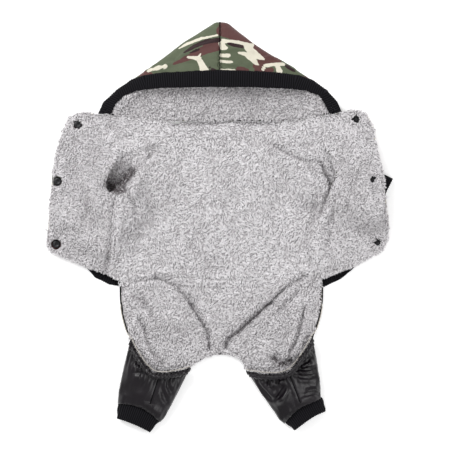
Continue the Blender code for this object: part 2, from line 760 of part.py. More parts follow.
def hood_point(angle, along, inset, gap=0.0):
    """A point on the hood. Angles below 0 are on the left, and gap opens its centre seam."""
    side = LEFT if angle < 0 else RIGHT
    half = read(HOOD_SECTIONS, "along", side.name, along) * HOOD_HALF_WIDTH
    height = read(HOOD_SECTIONS, "along", "height", along) * HOOD_HEIGHT
    lift = read(HOOD_SECTIONS, "along", "lift", along)
    across, up = lying_oval(abs(angle), half, height, inset)
    x = side.sign * (gap / 2 + max(across - gap / 2, 0))
    if half == 0:
        x = side.sign * gap / 2
    return Vector((x, NECK_Y + along * HOOD_LENGTH, lift + up))


def hood_neck_along(angle):
    """Where the neck seam crosses this angle of the hood, as a share of its length."""
    along = 0.0
    for _ in range(8):
        along = (neck_y(hood_point(angle, along, 0).x) + SEAM_GAP - NECK_Y) / HOOD_LENGTH
    return along


def hood_shell_start(angle):
    first = HOOD_EDGES[0]
    if abs(angle) <= first.join_angle:
        return hood_neck_along(angle)
    joined = read(HOOD_EDGES, "join_angle", "join_along", abs(angle))
    return max(joined + SEAM_GAP / HOOD_LENGTH, hood_neck_along(angle))


def hood_lining_start(angle):
    opened = read(HOOD_EDGES, "open_angle", "open_along", abs(angle))
    return max(hood_neck_along(angle), opened * smooth((abs(angle) - 100) / 25) + 0.01)


def make_hood_shell(side):
    angles = HOOD_LOWER_ANGLES + tuple(row.join_angle for row in HOOD_EDGES)

    def surface(inset):
        def point(angle, along):
            start = hood_shell_start(side.sign * angle)
            end = 1 - inset / HOOD_LENGTH
            signed = side.sign * max(angle, 1e-6)
            place_at = blend(start, end, along)
            if along == 1:
                return Vector((side.sign * SEAM_GAP / 2, NECK_Y + end * HOOD_LENGTH, peak_up()))
            return hood_point(signed, place_at, inset, SEAM_GAP)
        return point

    cloth(
        f"hood_shell_{side.name}", CAMOUFLAGE, angles, HOOD_ALONG,
        surface(0), surface(SHELL_THICKNESS), ring=True,
    )


def peak_up():
    return HOOD_SECTIONS[-1].lift


def hood_lining_inset():
    return RIB_THICKNESS + HOOD_SLACK


def make_hood_lining():
    right = HOOD_LINING_ANGLES
    angles = tuple(-angle for angle in reversed(right)) + (0,) + right

    def surface(inset):
        def point(angle, along):
            start = hood_lining_start(angle)
            end = 1 - 2 * inset / HOOD_LENGTH
            if along == 1:
                return Vector((0, NECK_Y + end * HOOD_LENGTH, peak_up()))
            return hood_point(angle, blend(start, end, along), inset)
        return point

    outer = hood_lining_inset()
    cloth(
        "hood_lining", FLEECE, angles, HOOD_LINING_ALONG,
        surface(outer), surface(outer + HOOD_PILE), ring=True,
    )


def make_hood_band():
    """The rib round the face: up one side of the neck, across the forehead and down again."""
    count = len(HOOD_EDGES)
    stations = tuple(range(2 * count - 1))

    def surface(inset):
        def point(station, width_share):
            step = round(station)
            sign = -1 if step < count else 1
            row = HOOD_EDGES[step if step < count else 2 * (count - 1) - step]
            joined = row.join_angle + HOOD_SEAM_TURN * (1 - row.join_angle / 180)
            angle = blend(joined, row.open_angle, width_share)
            along = blend(row.join_along, row.open_along, width_share)
            along = max(along, hood_neck_along(sign * angle))
            return hood_point(sign * angle, along, inset)
        return point

    cloth(
        "hood_rib_band", BLACK_RIB, stations, (0, 0.2, 0.4, 0.6, 0.8, 1), surface(0), surface(RIB_THICKNESS)
    )


# Trousers


def leg_direction(side):
    turned = math.radians(LEG_SPLAY[side])
    return Vector((side.sign * math.sin(turned), -math.cos(turned)))


def leg_inward(side, turn):
    """Square to the leg and towards the other one, turned by so many degrees."""
    turned = math.radians(LEG_SPLAY[side] + turn)
    return Vector((-side.sign * math.cos(turned), -math.sin(turned)))


def leg_mouth(side):
    return Vector((side.sign * LEG_SPREAD, MOUTH_Y))


def leg_point(side, angle, along, inset):
    half = read(LEG_SECTIONS, "along", side.name + "_width", along) * LEG_WIDTH / 2
    turn = read(LEG_SECTIONS, "along", side.name + "_turn", along)
    height = read(LEG_SECTIONS, "along", "height", along) * LEG_HEIGHT
    across, up = lying_oval(angle, half, height, inset)
    dip = MOUTH_DIP * (1 - (abs(across) / half) ** 1.4) * (1 - along)
    plan = leg_mouth(side) + leg_direction(side) * (along * LEG_LENGTH + dip)
    plan += leg_inward(side, turn) * across
    return Vector((plan.x, plan.y, up))


def make_leg(side):
    def surface(inset):
        return lambda angle, along: leg_point(side, angle, along, inset)

    cloth(
        f"leg_shell_{side.name}", BLACK_NYLON, RING_ANGLES, LEG_ALONG,
        surface(0), surface(SHELL_THICKNESS), ring=True,
    )
    inner = SHELL_THICKNESS + GAP
    stations = tuple(share * LEG_LINING_SHARE / 0.42 for share in LEG_LINING_ALONG)
    cloth(
        f"leg_lining_{side.name}", FLEECE, RING_ANGLES, stations,
        surface(inner), surface(inner + LEG_PILE), ring=True,
    )


def make_leg_cuff(side):
    turn = LEG_CUFF_SPLAY[side] - LEG_SPLAY[side]
    turned = math.radians(LEG_CUFF_SPLAY[side])
    down = Vector((side.sign * math.sin(turned), -math.cos(turned)))
    start = leg_mouth(side) + leg_direction(side) * LEG_LENGTH
    last = LEG_SECTIONS[-1]
    skew = abs(turn - getattr(last, side.name + "_turn"))
    start += down * (SEAM_GAP + LEG_CUFF_WIDTH / 2 * math.sin(math.radians(skew)))

    def surface(inset):
        def point(angle, along):
            narrow = 1 - 0.15 * smooth(along)
            across, up = lying_oval(angle, narrow * LEG_CUFF_WIDTH / 2, LEG_CUFF_HEIGHT, inset)
            plan = start + down * along * LEG_CUFF_LENGTH * LEG_CUFF_SHARE[side]
            plan += leg_inward(side, turn) * across
            return Vector((plan.x, plan.y, up))
        return point

    cloth(
        f"leg_cuff_{side.name}", BLACK_RIB, RING_ANGLES, CUFF_ALONG,
        surface(0), surface(RIB_THICKNESS), ring=True,
    )


def seat_bottom():
    """Knots of the seat's lower edge: round the left leg's mouth, the crotch, the right's."""
    left = [leg_point(LEFT, angle, 0, 0).xy for angle in LEG_MOUTH_ANGLES]
    right = [leg_point(RIGHT, angle, 0, 0).xy for angle in reversed(LEG_MOUTH_ANGLES)]
    middle = [
        Vector((row.out * LEG_SPREAD, WAIST_Y - row.down * SEAT_LENGTH)) for row in CROTCH
    ]
    return [knot + Vector((0, SEAM_GAP)) for knot in left + middle + right]


def seat_point(knots, station, along, ledge=0.0):
    """A plan point of the seat. The shell has a ledge, and starts below the waist band."""
    step = round(station)
    left = seam_point(LEFT, 1).lerp(flap_point(LEFT, 0, 1), 0.5)
    right = seam_point(RIGHT, 1).lerp(flap_point(RIGHT, 0, 1), 0.5)
    top = left.lerp(right, SEAT_TOP[step]) - Vector((0, 2 * SEAM_GAP))
    if ledge:
        top.y = band_low_y(top.x) - 2 * SEAM_GAP
    side = SEAT_TOP[step] * 2 - 1
    plan = top.lerp(knots[step], along)
    bulge = 0.0042 * math.sin(math.pi * along) + ledge * math.sin(math.pi * min(along * 1.2, 1))
    plan.x += bulge * side * abs(side) ** 3
    return plan


def make_seat():
    knots = seat_bottom()
    stations = tuple(range(len(SEAT_TOP)))

    def shell(up):
        def point(station, along):
            plan = seat_point(knots, station, along, SHELL_LEDGE)
            return Vector((plan.x, plan.y, up))
        return point

    def lining_bottom(station, along):
        plan = seat_point(knots, station, along)
        share = station / (len(SEAT_TOP) - 1)
        inside = smooth(min(along, 1 - along) / 0.15) * smooth(min(share, 1 - share) / 0.1)
        hollow = max(relief(plan) - PILE_THICKNESS / 2, 0) * inside
        return Vector((plan.x, plan.y, LINING_BASE + hollow))

    def lining_top(station, along):
        low = lining_bottom(station, along)
        share = station / (len(SEAT_TOP) - 1)
        pile = PILE_THICKNESS * edge_round(share, along)
        fold = min(max(relief(low.xy), -PILE_THICKNESS / 2), PILE_THICKNESS / 2)
        return low + Vector((0, 0, pile + fold * smooth(min(share, 1 - share) / 0.1 + 0.4)))

    cloth("seat_shell", BLACK_NYLON, stations, SEAT_ALONG, shell(SHELL_THICKNESS), shell(0))
    cloth("seat_lining", FLEECE, stations, SEAT_ALONG, lining_top, lining_bottom)


def make_casing(side):
    """The gathered elastic casing that arches over the leg's mouth."""
    steps = 2 * CASING_GATHERS
    outset = -(CASING_RADIUS * (1 + CASING_PUCKER) + 3 * GAP)
    points, radii = [], []
    for step in range(steps + 1):
        angle = 84 + 192 * step / steps
        points.append(leg_point(side, angle, 0.075, outset))
        pucker = CASING_PUCKER if step % 2 else -CASING_PUCKER
        radii.append(CASING_RADIUS * (1 + pucker))
    tube(f"leg_casing_{side.name}", BLACK_NYLON, points, radii)


def make_binding(side):
    """The pale piping on the free edge: down the seat's side and over the leg's mouth."""
    knots = seat_bottom()
    station = 0 if side is LEFT else len(SEAT_TOP) - 1
    clear = BINDING_RADIUS + GAP
    points = []
    for along in (0.04, 0.2, 0.36, 0.52, 0.68, 0.82, 0.93):
        plan = seat_point(knots, station, along)
        rise = SHELL_THICKNESS + clear + 0.3 * LEG_HEIGHT * smooth(along)
        points.append(Vector((plan.x + side.sign * 2 * clear, plan.y, rise)))
    for angle in (270, 255, 240, 225, 210, 195, 180, 165, 150, 135, 120, 105, 90):
        mouth = leg_point(side, angle, 0, SHELL_THICKNESS / 2)
        plan = mouth.xy - leg_direction(side) * 2 * clear
        points.append(Vector((plan.x, plan.y, mouth.z + clear)))
    tube(f"leg_binding_{side.name}", PALE_BINDING, points, [BINDING_RADIUS] * len(points))


def centre_on_origin():
    """Moves the garment so that the middle of its box stands over the origin."""
    bpy.context.view_layer.update()
    graph = bpy.context.evaluated_depsgraph_get()
    corners = []
    for thing in PARTS.objects:
        if thing.type == "EMPTY":
            continue
        shown = thing.evaluated_get(graph)
        mesh = shown.to_mesh()
        corners += [shown.matrix_world @ vertex.co for vertex in mesh.vertices]
        shown.to_mesh_clear()
    for axis in (0, 1):
        low = min(corner[axis] for corner in corners)
        high = max(corner[axis] for corner in corners)
        ROOT.location[axis] = -(low + high) / 2
    for cutter in CUTTERS.objects:
        cutter.location += ROOT.location


clear_scene()
PARTS = make_collection("dog_jumpsuit")
CUTTERS = make_collection("cutters", hidden=True)
ROOT = bpy.data.objects.new("jumpsuit", None)
PARTS.objects.link(ROOT)

back_sheets = make_jacket_back()
flaps = {side: make_flap(side) for side in SIDES}
for side in SIDES:
    cut_armhole(side, back_sheets + flaps[side])
    make_sleeve(side, (back_sheets[0], flaps[side][0]))
    make_sleeve_cuff(side)
for snap in SNAPS:
    make_snap(snap, *flaps[snap.side])
make_waist_band()
for side in SIDES:
    make_hood_shell(side)
make_hood_lining()
make_hood_band()
make_seat()
for side in SIDES:
    make_leg(side)
    make_leg_cuff(side)
    make_casing(side)
    make_binding(side)
centre_on_origin()
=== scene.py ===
# %% [markdown]
# # A dog's winter jumpsuit, laid open
#
# The real thing is a hooded suit with four legs. It lies on its back with the belly snaps
# undone, so the grey sherpa lining faces us and the printed shell lies on the table.
#
# We start from a frame of plain solids that already have the right size and place. Each
# fabric gets a finer skin over its solid: the shape stays where the solid is, and this
# script adds folds, gathers, ribs, pile and colour.

import math
from collections import namedtuple

import bmesh
import bpy
import numpy as np
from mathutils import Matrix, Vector, noise
from mathutils.bvhtree import BVHTree


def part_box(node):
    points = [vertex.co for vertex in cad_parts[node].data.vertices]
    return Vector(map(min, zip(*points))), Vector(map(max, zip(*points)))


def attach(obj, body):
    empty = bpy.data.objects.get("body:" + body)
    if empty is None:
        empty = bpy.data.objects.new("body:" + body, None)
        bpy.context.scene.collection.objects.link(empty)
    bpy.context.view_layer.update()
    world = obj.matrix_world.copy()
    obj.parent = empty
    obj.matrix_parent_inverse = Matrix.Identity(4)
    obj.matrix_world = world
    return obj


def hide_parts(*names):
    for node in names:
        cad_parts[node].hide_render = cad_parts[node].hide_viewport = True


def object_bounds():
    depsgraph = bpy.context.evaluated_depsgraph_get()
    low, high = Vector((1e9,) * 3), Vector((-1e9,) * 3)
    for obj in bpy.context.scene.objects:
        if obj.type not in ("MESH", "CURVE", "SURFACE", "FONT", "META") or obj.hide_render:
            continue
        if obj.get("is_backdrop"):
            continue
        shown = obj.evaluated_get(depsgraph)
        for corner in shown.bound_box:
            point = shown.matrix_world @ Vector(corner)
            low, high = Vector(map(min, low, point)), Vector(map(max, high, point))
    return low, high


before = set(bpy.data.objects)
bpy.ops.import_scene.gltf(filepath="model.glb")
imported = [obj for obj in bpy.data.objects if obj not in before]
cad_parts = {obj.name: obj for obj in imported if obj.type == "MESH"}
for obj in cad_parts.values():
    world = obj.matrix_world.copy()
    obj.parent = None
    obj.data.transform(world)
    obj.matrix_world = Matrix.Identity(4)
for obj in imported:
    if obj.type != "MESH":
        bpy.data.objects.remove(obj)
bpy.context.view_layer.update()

# %% [markdown]
# ## Words for places
#
# One unit is a metre, but folds and seams in cloth are easier to think of in millimetres,
# so we name the millimetre once. The garment's own landmarks come from the frame, so that
# what we add follows the solids wherever they are.

# %% Landmarks
MM = 0.001
back_low, back_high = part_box("jacket_back_lining")
NECK = back_high.y
WAIST = back_low.y
print("neck at", round(NECK, 4), "waist at", round(WAIST, 4))

# %% [markdown]
# ## Getting at the points of a mesh
#
# Almost every cloth below is shaped by moving its points. Python loops over points are
# slow, so we read all of them into one NumPy array, do the sums there, and write them
# back in one go.

# %% Read and write points


def points_of(piece):
    flat = np.empty(len(piece.data.vertices) * 3)
    piece.data.vertices.foreach_get("co", flat)
    return flat.reshape(-1, 3)


def normals_of(piece):
    flat = np.empty(len(piece.data.vertices) * 3)
    piece.data.vertex_normals.foreach_get("vector", flat)
    return flat.reshape(-1, 3)


def move_points(piece, points):
    piece.data.vertices.foreach_set("co", points.ravel())
    piece.data.update()


def store(piece, name, values):
    """Keeps one number per point on the mesh, where a material can read it."""
    kept = piece.data.attributes.new(name, "FLOAT", "POINT")
    kept.data.foreach_set("value", np.asarray(values, np.float32))


def ripple(points, size, seed):
    """Smooth noise between about -1 and 1, whose lumps are this size."""
    offset = Vector((seed * 7.31, seed * 3.77, seed * 1.93))
    return np.array([noise.noise(Vector(point) / size + offset) for point in points])


def smooth(share):
    share = np.clip(share, 0, 1)
    return share * share * (3 - 2 * share)


# %% [markdown]
# ## Paths over the cloth
#
# Seams, creases, ribs and the strokes of the print all follow paths. Seen from above, three
# questions about a path are enough: how far is a point from it, how far along it is the
# nearest place, and on which side of it the point lies. Paths are in millimetres from the
# garment's middle, as a camera four metres above sees them, and what stands higher looks
# a little farther out. A path typed with few corners is rounded by cutting them off twice.

# %% Distance to a path, along it, and the side
CAMERA_HEIGHT = 4.0


def plan_of(points):
    """Where points appear from high above, in millimetres."""
    return points[:, :2] * (1 + points[:, 2:3] / CAMERA_HEIGHT) / MM


def curved(path):
    """The same path with its corners cut off."""
    for _ in range(2):
        cut = [path[0]]
        for start, end in zip(path, path[1:]):
            start, line = np.array(start, float), np.subtract(end, start)
            cut += [tuple(start + line * 0.25), tuple(start + line * 0.75)]
        path = cut + [path[-1]]
    return path


def nearest_on(points, path):
    plan = plan_of(points)
    nearest = np.full(len(plan), 1e9)
    travelled = np.zeros(len(plan))
    side = np.ones(len(plan))
    done = 0.0
    for start, end in zip(path, path[1:]):
        start, line = np.array(start[:2], float), np.subtract(end[:2], start[:2]).astype(float)
        reach = np.linalg.norm(line)
        offset = plan - start
        share = np.clip(offset @ line / (line @ line), 0, 1)
        gap = np.linalg.norm(offset - share[:, None] * line, axis=1)
        closer = gap < nearest
        nearest = np.where(closer, gap, nearest)
        travelled = np.where(closer, done + share * reach, travelled)
        side = np.where(closer, np.sign(line[0] * offset[:, 1] - line[1] * offset[:, 0]), side)
        done += reach
    return nearest, travelled, side


def path_distance(points, path):
    return nearest_on(points, path)[0]


def path_length(path):
    return sum(math.dist(start[:2], end[:2]) for start, end in zip(path, path[1:]))


# %% [markdown]
# ## Two ways to a finer skin
#
# A solid from the frame has flat facets, and cloth has none. Where the solid is a tidy grid
# of strips, a **subdivision surface** rounds it: the sharp rims are creased first, or they
# would melt inwards. Where several solids should flow into one fabric, or a cloth needs
# small gathers everywhere, a **voxel remesh** melts them into one even skin, and a few
# rounds of smoothing take the steps off.

# %% A copy of some nodes, joined


def cloth_copy(nodes):
    cut = bmesh.new()
    for node in nodes:
        cut.from_mesh(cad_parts[node].data)
    bmesh.ops.remove_doubles(cut, verts=cut.verts, dist=1e-5)
    return cut


def make_piece(name, cut):
    mesh = bpy.data.meshes.new(name)
    cut.to_mesh(mesh)
    cut.free()
    mesh.materials.clear()
    piece = bpy.data.objects.new(name, mesh)
    bpy.context.scene.collection.objects.link(piece)
    return piece


def apply_modifiers(piece):
    bpy.context.view_layer.update()
    graph = bpy.context.evaluated_depsgraph_get()
    mesh = bpy.data.meshes.new_from_object(piece.evaluated_get(graph))
    piece.modifiers.clear()
    piece.data = mesh
    piece.data.shade_smooth()
    return piece


# %% Soft subdivision


def softened(name, levels, *nodes, crease=0.7):
    cut = cloth_copy(nodes)
    bmesh.ops.join_triangles(
        cut,
        faces=cut.faces,
        angle_face_threshold=math.radians(40),
        angle_shape_threshold=math.radians(60),
    )
    sharpness = cut.edges.layers.float.new("crease_edge")
    for edge in cut.edges:
        if edge.is_manifold and edge.calc_face_angle() > math.radians(50):
            edge[sharpness] = crease
    piece = make_piece(name, cut)
    rounding = piece.modifiers.new("rounding", "SUBSURF")
    rounding.levels = levels
    rounding.render_levels = levels
    return apply_modifiers(piece)


# %% One even skin


def one_skin(name, voxel, smoothing, *nodes):
    piece = make_piece(name, cloth_copy(nodes))
    skin = piece.modifiers.new("one skin", "REMESH")
    skin.mode = "VOXEL"
    skin.voxel_size = voxel
    relax = piece.modifiers.new("relax", "SMOOTH")
    relax.factor = 0.5
    relax.iterations = smoothing
    return apply_modifiers(piece)


# %% A tree for rays


def tree_of(piece):
    corners = [list(face.vertices) for face in piece.data.polygons]
    return BVHTree.FromPolygons([tuple(point) for point in points_of(piece)], corners)


# %% [markdown]
# ## Small blocks for materials
#
# A material is a graph of nodes. Building graphs by hand in Python gets long, so this
# helper makes a node and wires it in one line. Everything is worked out from the object's
# own coordinates, so a weave has its real size wherever the piece lies.

# %% Material helper


class Dye:
    """A material under construction, with its shader at hand."""

    def __init__(self, name, roughness, sheen=0.0, gloss=0.5):
        self.material = bpy.data.materials.new(name)
        self.material.use_nodes = True
        self.nodes = self.material.node_tree.nodes
        self.links = self.material.node_tree.links
        self.shader = self.nodes["Principled BSDF"]
        self.shader.inputs["Roughness"].default_value = roughness
        self.shader.inputs["Sheen Weight"].default_value = sheen
        self.shader.inputs["Sheen Roughness"].default_value = 0.5
        self.shader.inputs["Specular IOR Level"].default_value = gloss
        self.place = self.nodes.new("ShaderNodeTexCoord").outputs["Object"]

    def wire(self, source, target):
        if hasattr(source, "links"):
            self.links.new(source, target)
        elif hasattr(source, "__len__") and len(target.default_value) == 4:
            target.default_value = (*source, 1)
        else:
            target.default_value = source

    def sums(self, operation, *values):
        node = self.nodes.new("ShaderNodeMath")
        node.operation = operation
        for value, target in zip(values, node.inputs):
            self.wire(value, target)
        return node.outputs[0]

    def stretch(self, scale, place=None, shift=(0, 0, 0), turn=0):
        node = self.nodes.new("ShaderNodeMapping")
        node.inputs["Scale"].default_value = scale
        node.inputs["Location"].default_value = shift
        node.inputs["Rotation"].default_value = (0, 0, math.radians(turn))
        self.links.new(place or self.place, node.inputs["Vector"])
        return node.outputs[0]

    def noise(self, scale, detail=2.0, place=None, warp=0.0, output="Fac"):
        node = self.nodes.new("ShaderNodeTexNoise")
        node.inputs["Scale"].default_value = scale
        node.inputs["Detail"].default_value = detail
        node.inputs["Distortion"].default_value = warp
        self.links.new(place or self.place, node.inputs["Vector"])
        return node.outputs[output]

    def attribute(self, name):
        node = self.nodes.new("ShaderNodeAttribute")
        node.attribute_name = name
        return node.outputs["Fac"]

    def ramp(self, value, stops):
        node = self.nodes.new("ShaderNodeValToRGB")
        while len(node.color_ramp.elements) < len(stops):
            node.color_ramp.elements.new(0.5)
        for element, (at, colour) in zip(node.color_ramp.elements, stops):
            element.position = at
            element.color = (*colour, 1)
        self.links.new(value, node.inputs[0])
        return node.outputs[0]

    def mix(self, share, below, above, blend="MIX"):
        node = self.nodes.new("ShaderNodeMix")
        node.data_type = "RGBA"
        node.blend_type = blend
        for value, target in zip((share, below, above), (node.inputs[0], node.inputs[6], node.inputs[7])):
            self.wire(value, target)
        return node.outputs[2]

    def colour(self, source):
        self.links.new(source, self.shader.inputs["Base Color"])

    def roughness(self, value, low, high):
        grey = self.ramp(value, [(0.3, (low,) * 3), (0.7, (high,) * 3)])
        self.links.new(grey, self.shader.inputs["Roughness"])

    def bump(self, height, depth):
        node = self.nodes.new("ShaderNodeBump")
        node.inputs["Distance"].default_value = depth
        self.links.new(height, node.inputs["Height"])
        self.links.new(node.outputs[0], self.shader.inputs["Normal"])

    def weave(self, pitch):
        """Threads over and under each other, as the product of two waves."""
        spin = 2 * math.pi / pitch
        apart = self.nodes.new("ShaderNodeSeparateXYZ")
        self.links.new(self.place, apart.inputs[0])
        warp = self.sums("SINE", self.sums("MULTIPLY", apart.outputs[0], spin))
        weft = self.sums("SINE", self.sums("MULTIPLY", apart.outputs[1], spin))
        return self.sums("MULTIPLY_ADD", self.sums("MULTIPLY", warp, weft), 0.5, 0.5)


def paint(*screen):
    """A colour from its three screen values, 0 to 255, as the shader's linear light."""
    return tuple(((value / 255 + 0.055) / 1.055) ** 2.4 for value in screen)


# %% Dress a piece


def dress(piece, dye, slot, *nodes):
    """Gives a piece its material and makes it stand for its CAD nodes."""
    piece.data.materials.clear()
    piece.data.materials.append(dye.material)
    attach(piece, "root")
    if nodes:
        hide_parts(*nodes)
    print(piece.name, len(piece.data.polygons) if piece.type == "MESH" else "curve")
    return piece


# %% [markdown]
# ## Sherpa, in two materials
#
# Sherpa is a knit with curled tufts of fine grey fibre. Light reaches the tips of the
# curls and less gets down between them, and that shade is painted into the colour. The
# ground under the tufts is painted darker, and each tuft carries two numbers that are
# stored when it is planted: its own shade, into which the painted shade of creases and
# regions is added, and how far up the tuft a point is, which paints the root darker and
# the tip lighter. Slow noise lets the colour drift over the cloth, as pile does where it
# has been brushed one way or the other.

# %% Sherpa colours
# PILE_ROOT and PILE_DEEP are painted shade, down at the roots and deep in creases and hollows; the tips get the
# lightest tone.
PILE_TIP = paint(240, 238, 240)
PILE_MIDDLE = paint(216, 213, 215)
PILE_ROOT = paint(150, 146, 149)
PILE_DEEP = paint(84, 76, 78)

# The ground between the tufts is painted in the darker root tones, as painted shade under the tufts.
ground_dye = Dye("sherpa_ground", roughness=0.95, sheen=0.15)
mottle = ground_dye.noise(420, detail=3)
ground_dye.colour(ground_dye.ramp(mottle, [(0.3, PILE_ROOT), (0.7, PILE_MIDDLE)]))
ground_dye.bump(mottle, 1.0 * MM)

tuft_dye = Dye("sherpa_tufts", roughness=0.9, sheen=0.2)
# Painted shade: each tuft is lighter towards its tip and darker at its root, and darker still where creases and
# regions add painted shade.
lightness = tuft_dye.sums("MULTIPLY_ADD", tuft_dye.attribute("tuft_shade"), 0.31, tuft_dye.attribute("tuft_tip"))
drift = tuft_dye.noise(34, detail=2)
lightness = tuft_dye.sums("MULTIPLY_ADD", drift, 0.34, tuft_dye.sums("SUBTRACT", lightness, 0.32))
stops = [(0.0, PILE_DEEP), (0.30, PILE_ROOT), (0.62, PILE_MIDDLE), (1.0, PILE_TIP)]
tuft_dye.colour(tuft_dye.ramp(lightness, stops))
tuft_dye.bump(tuft_dye.noise(1400, detail=2), 0.2 * MM)
print("sherpa materials ready")

# %% [markdown]
# ## The lining as one fabric
#
# Back, flaps and trousers are cut from the same sherpa, and where they are sewn the pile
# closes over the seam. So the four linings melt into one skin, and the seams come back as
# shallow valleys.

# %% Melt the linings together
BODY_LININGS = ("jacket_back_lining", "flap_lining_left", "flap_lining_right", "seat_lining")
lining = one_skin("sherpa_body", 3.2 * MM, 4, *BODY_LININGS)
print("lining points", len(lining.data.vertices))

# %% [markdown]
# ## Creases
#
# A crease in thick pile is a narrow dark valley with a soft bank on each side. Each one
# here is a short path over the lining with a depth, a width and the height of its bank.
# The last value says how much shade is painted into the pile down there, where hardly any light arrives.

# %% Crease table
Crease = namedtuple("Crease", "path depth width bank dark")
CREASES = (
    # thighs: the pads round the legs
    Crease([(-122, -76), (-106, -73), (-92, -70)], 2.0, 4, 1.0, 0.25),
    Crease([(-92, -70), (-76, -73), (-67, -79), (-54, -91), (-47, -98)], 5.0, 4, 3.0, 0.75),
    Crease([(-47, -98), (-38, -111), (-29, -128), (-19, -143), (-14, -163), (-15, -170)], 6.5, 4, 3.5, 1.0),
    Crease([(119, -68), (103, -76), (89, -86), (68, -108)], 4.5, 4, 2.5, 0.8),
    Crease([(68, -108), (45, -128), (24, -146), (12, -156), (9, -166)], 6.5, 5, 3.5, 1.15),
    Crease([(113, -80), (100, -100), (85, -112)], 2.5, 4, 1.5, 0.45),
    Crease([(117, -112), (113, -136), (108, -157), (98, -172)], 4.0, 3.5, 2.0, 0.75),
    Crease([(-119, -97), (-107, -101), (-98, -118), (-96, -126)], 2.2, 4, 1.2, 0.45),
    Crease([(-114, -127), (-104, -143), (-102, -160), (-91, -180)], 3.0, 3.6, 1.5, 0.70),
    Crease([(76, -183), (85, -193), (98, -186)], 4.5, 6, 1.0, 1.6),
    Crease([(-92, -176), (-82, -188)], 2.0, 5, 0.5, 0.5),
    # waist, hem and neck seams
    Crease([(-65, -57), (-20, -57), (12, -57)], 1.2, 1.6, 0.3, 0.60),
    Crease([(-76, -67), (-40, -70), (12, -72)], 1.2, 1.8, 0.3, 0.50),
    Crease([(12, -72), (50, -74), (80, -72)], 1.0, 1.8, 0.3, 0.35),
    Crease([(-76, -80), (-30, -84), (5, -84)], 1.0, 1.8, 0.2, 0.40),
    Crease([(-137, -63), (-110, -62), (-94, -58)], 0.8, 2, 0.2, 0.25),
    Crease([(-80, 142), (-30, 144), (30, 146), (78, 143)], 1.0, 2.0, 0.4, 0.60),
    Crease([(-150, 141), (-120, 142), (-92, 144)], 0.8, 2, 0.2, 0.30),
    # left shoulder and the way into the sleeve
    Crease([(-155, 108), (-149, 121), (-136, 127), (-123, 128)], 2.0, 4, 1.0, 0.35),
    Crease([(-144, 83), (-123, 100), (-101, 111)], 2.0, 4, 1.0, 0.35),
    Crease([(-150, 62), (-139, 60), (-129, 76), (-108, 96), (-93, 112)], 5.0, 8, 1.5, 0.40),
    # The next two paint deep shade into the pile where it goes in under the left armhole's rim.
    Crease([(-157, 60), (-149, 52), (-141, 50), (-136, 54)], 4.0, 8.0, 0.4, 2.0),
    Crease([(-144, 56), (-135, 63), (-122, 79)], 4.0, 9, 0.2, 1.6),
    Crease([(-147, 41), (-151, 14), (-154, -23), (-160, -62)], 2.2, 4, 1.6, 0.38),
    Crease([(-131, 46), (-121, 37), (-119, 20)], 2.0, 4, 1.0, 0.35),
    Crease([(-113, 8), (-111, -14), (-117, -34)], 1.4, 5, 0.8, 0.20),
    Crease([(-100, 66), (-94, 30), (-98, -10)], 1.2, 6, 0.8, 0.12),
    # right shoulder, pulled to a fold by the sleeve beneath
    Crease([(76, 116), (90, 107), (103, 100), (120, 94), (141, 89)], 2.8, 3.2, 1.6, 0.75),
    Crease([(106, 118), (127, 110), (138, 99)], 1.4, 4, 0.8, 0.22),
    Crease([(142, 92), (150, 71), (155, 55)], 5.0, 4, 2.0, 1.05),
    Crease([(155, 55), (148, 40), (142, 27), (140, 17)], 4.0, 4, 1.5, 0.80),
    Crease([(134, 36), (128, 8), (121, -22), (126, -52)], 2.2, 5, 1.3, 0.38),
    Crease([(157, 31), (153, -2), (149, -40)], 1.6, 5, 1.0, 0.22),
    Crease([(146, -76), (150, -64), (162, -58)], 1.5, 3, 0.5, 0.30),
    # broad dents of the back and the flaps
    Crease([(-60, 96), (-50, 30), (-66, -30)], 1.2, 14, 0.5, 0.08),
    Crease([(20, 110), (8, 40), (30, -30)], 1.2, 16, 0.5, 0.08),
    Crease([(84, 60), (70, 10), (92, -40)], 1.2, 14, 0.5, 0.10),
    Crease([(-40, -26), (-28, -38), (-16, -48)], 1.6, 13, 0.4, 0.22),
    Crease([(26, 128), (58, 121), (92, 106)], 1.5, 8, 1.0, 0.20),
    Crease([(-84, 104), (-100, 84), (-112, 60)], 1.4, 8, 0.8, 0.18),
    Crease([(-205, 80), (-190, 40), (-176, 10), (-158, -16)], 1.4, 13, 0.5, 0.20),
    Crease([(-196, 128), (-178, 104), (-172, 70)], 1.2, 11, 0.5, 0.16),
    Crease([(196, 80), (182, 36), (196, 4), (214, -18)], 1.4, 13, 0.5, 0.20),
    Crease([(176, 126), (172, 100), (164, 84)], 1.2, 9, 0.5, 0.14),
)
# The line of stitches inside the left flap's edge.
CREASES += (Crease([(-211, 132), (-220, 117), (-227, 98), (-230, 81), (-232, 30)], 0.6, 1.3, 0.3, 0.22),)
# Short puckers that fan out from the right shoulder's fold.
for step in range(6):
    high = 88 - 7 * step
    CREASES += (Crease([(125 + step, high - 6), (141 + 2 * step, high - 3)], 1.0, 1.4, 0.5, 0.35),)
CREASES = tuple(crease._replace(path=curved(crease.path)) for crease in CREASES)


def crease_height(points):
    """The height that all creases add, in metres."""
    height = np.zeros(len(points))
    for crease in CREASES:
        away = path_distance(points, crease.path) / crease.width
        height -= crease.depth * np.exp(-(away**2))
        height += crease.bank * np.exp(-((away - 2.2) ** 2))
    return height * MM


def crease_painted_shade(points):
    """How much shade is painted into the pile at each place, from 0 to about 1."""
    dark = np.zeros(len(points))
    for crease in CREASES:
        away = path_distance(points, crease.path) / (crease.width * 0.8)
        dark = np.maximum(dark, crease.dark * np.exp(-(away**2)))
    return dark


print("creases", len(CREASES))

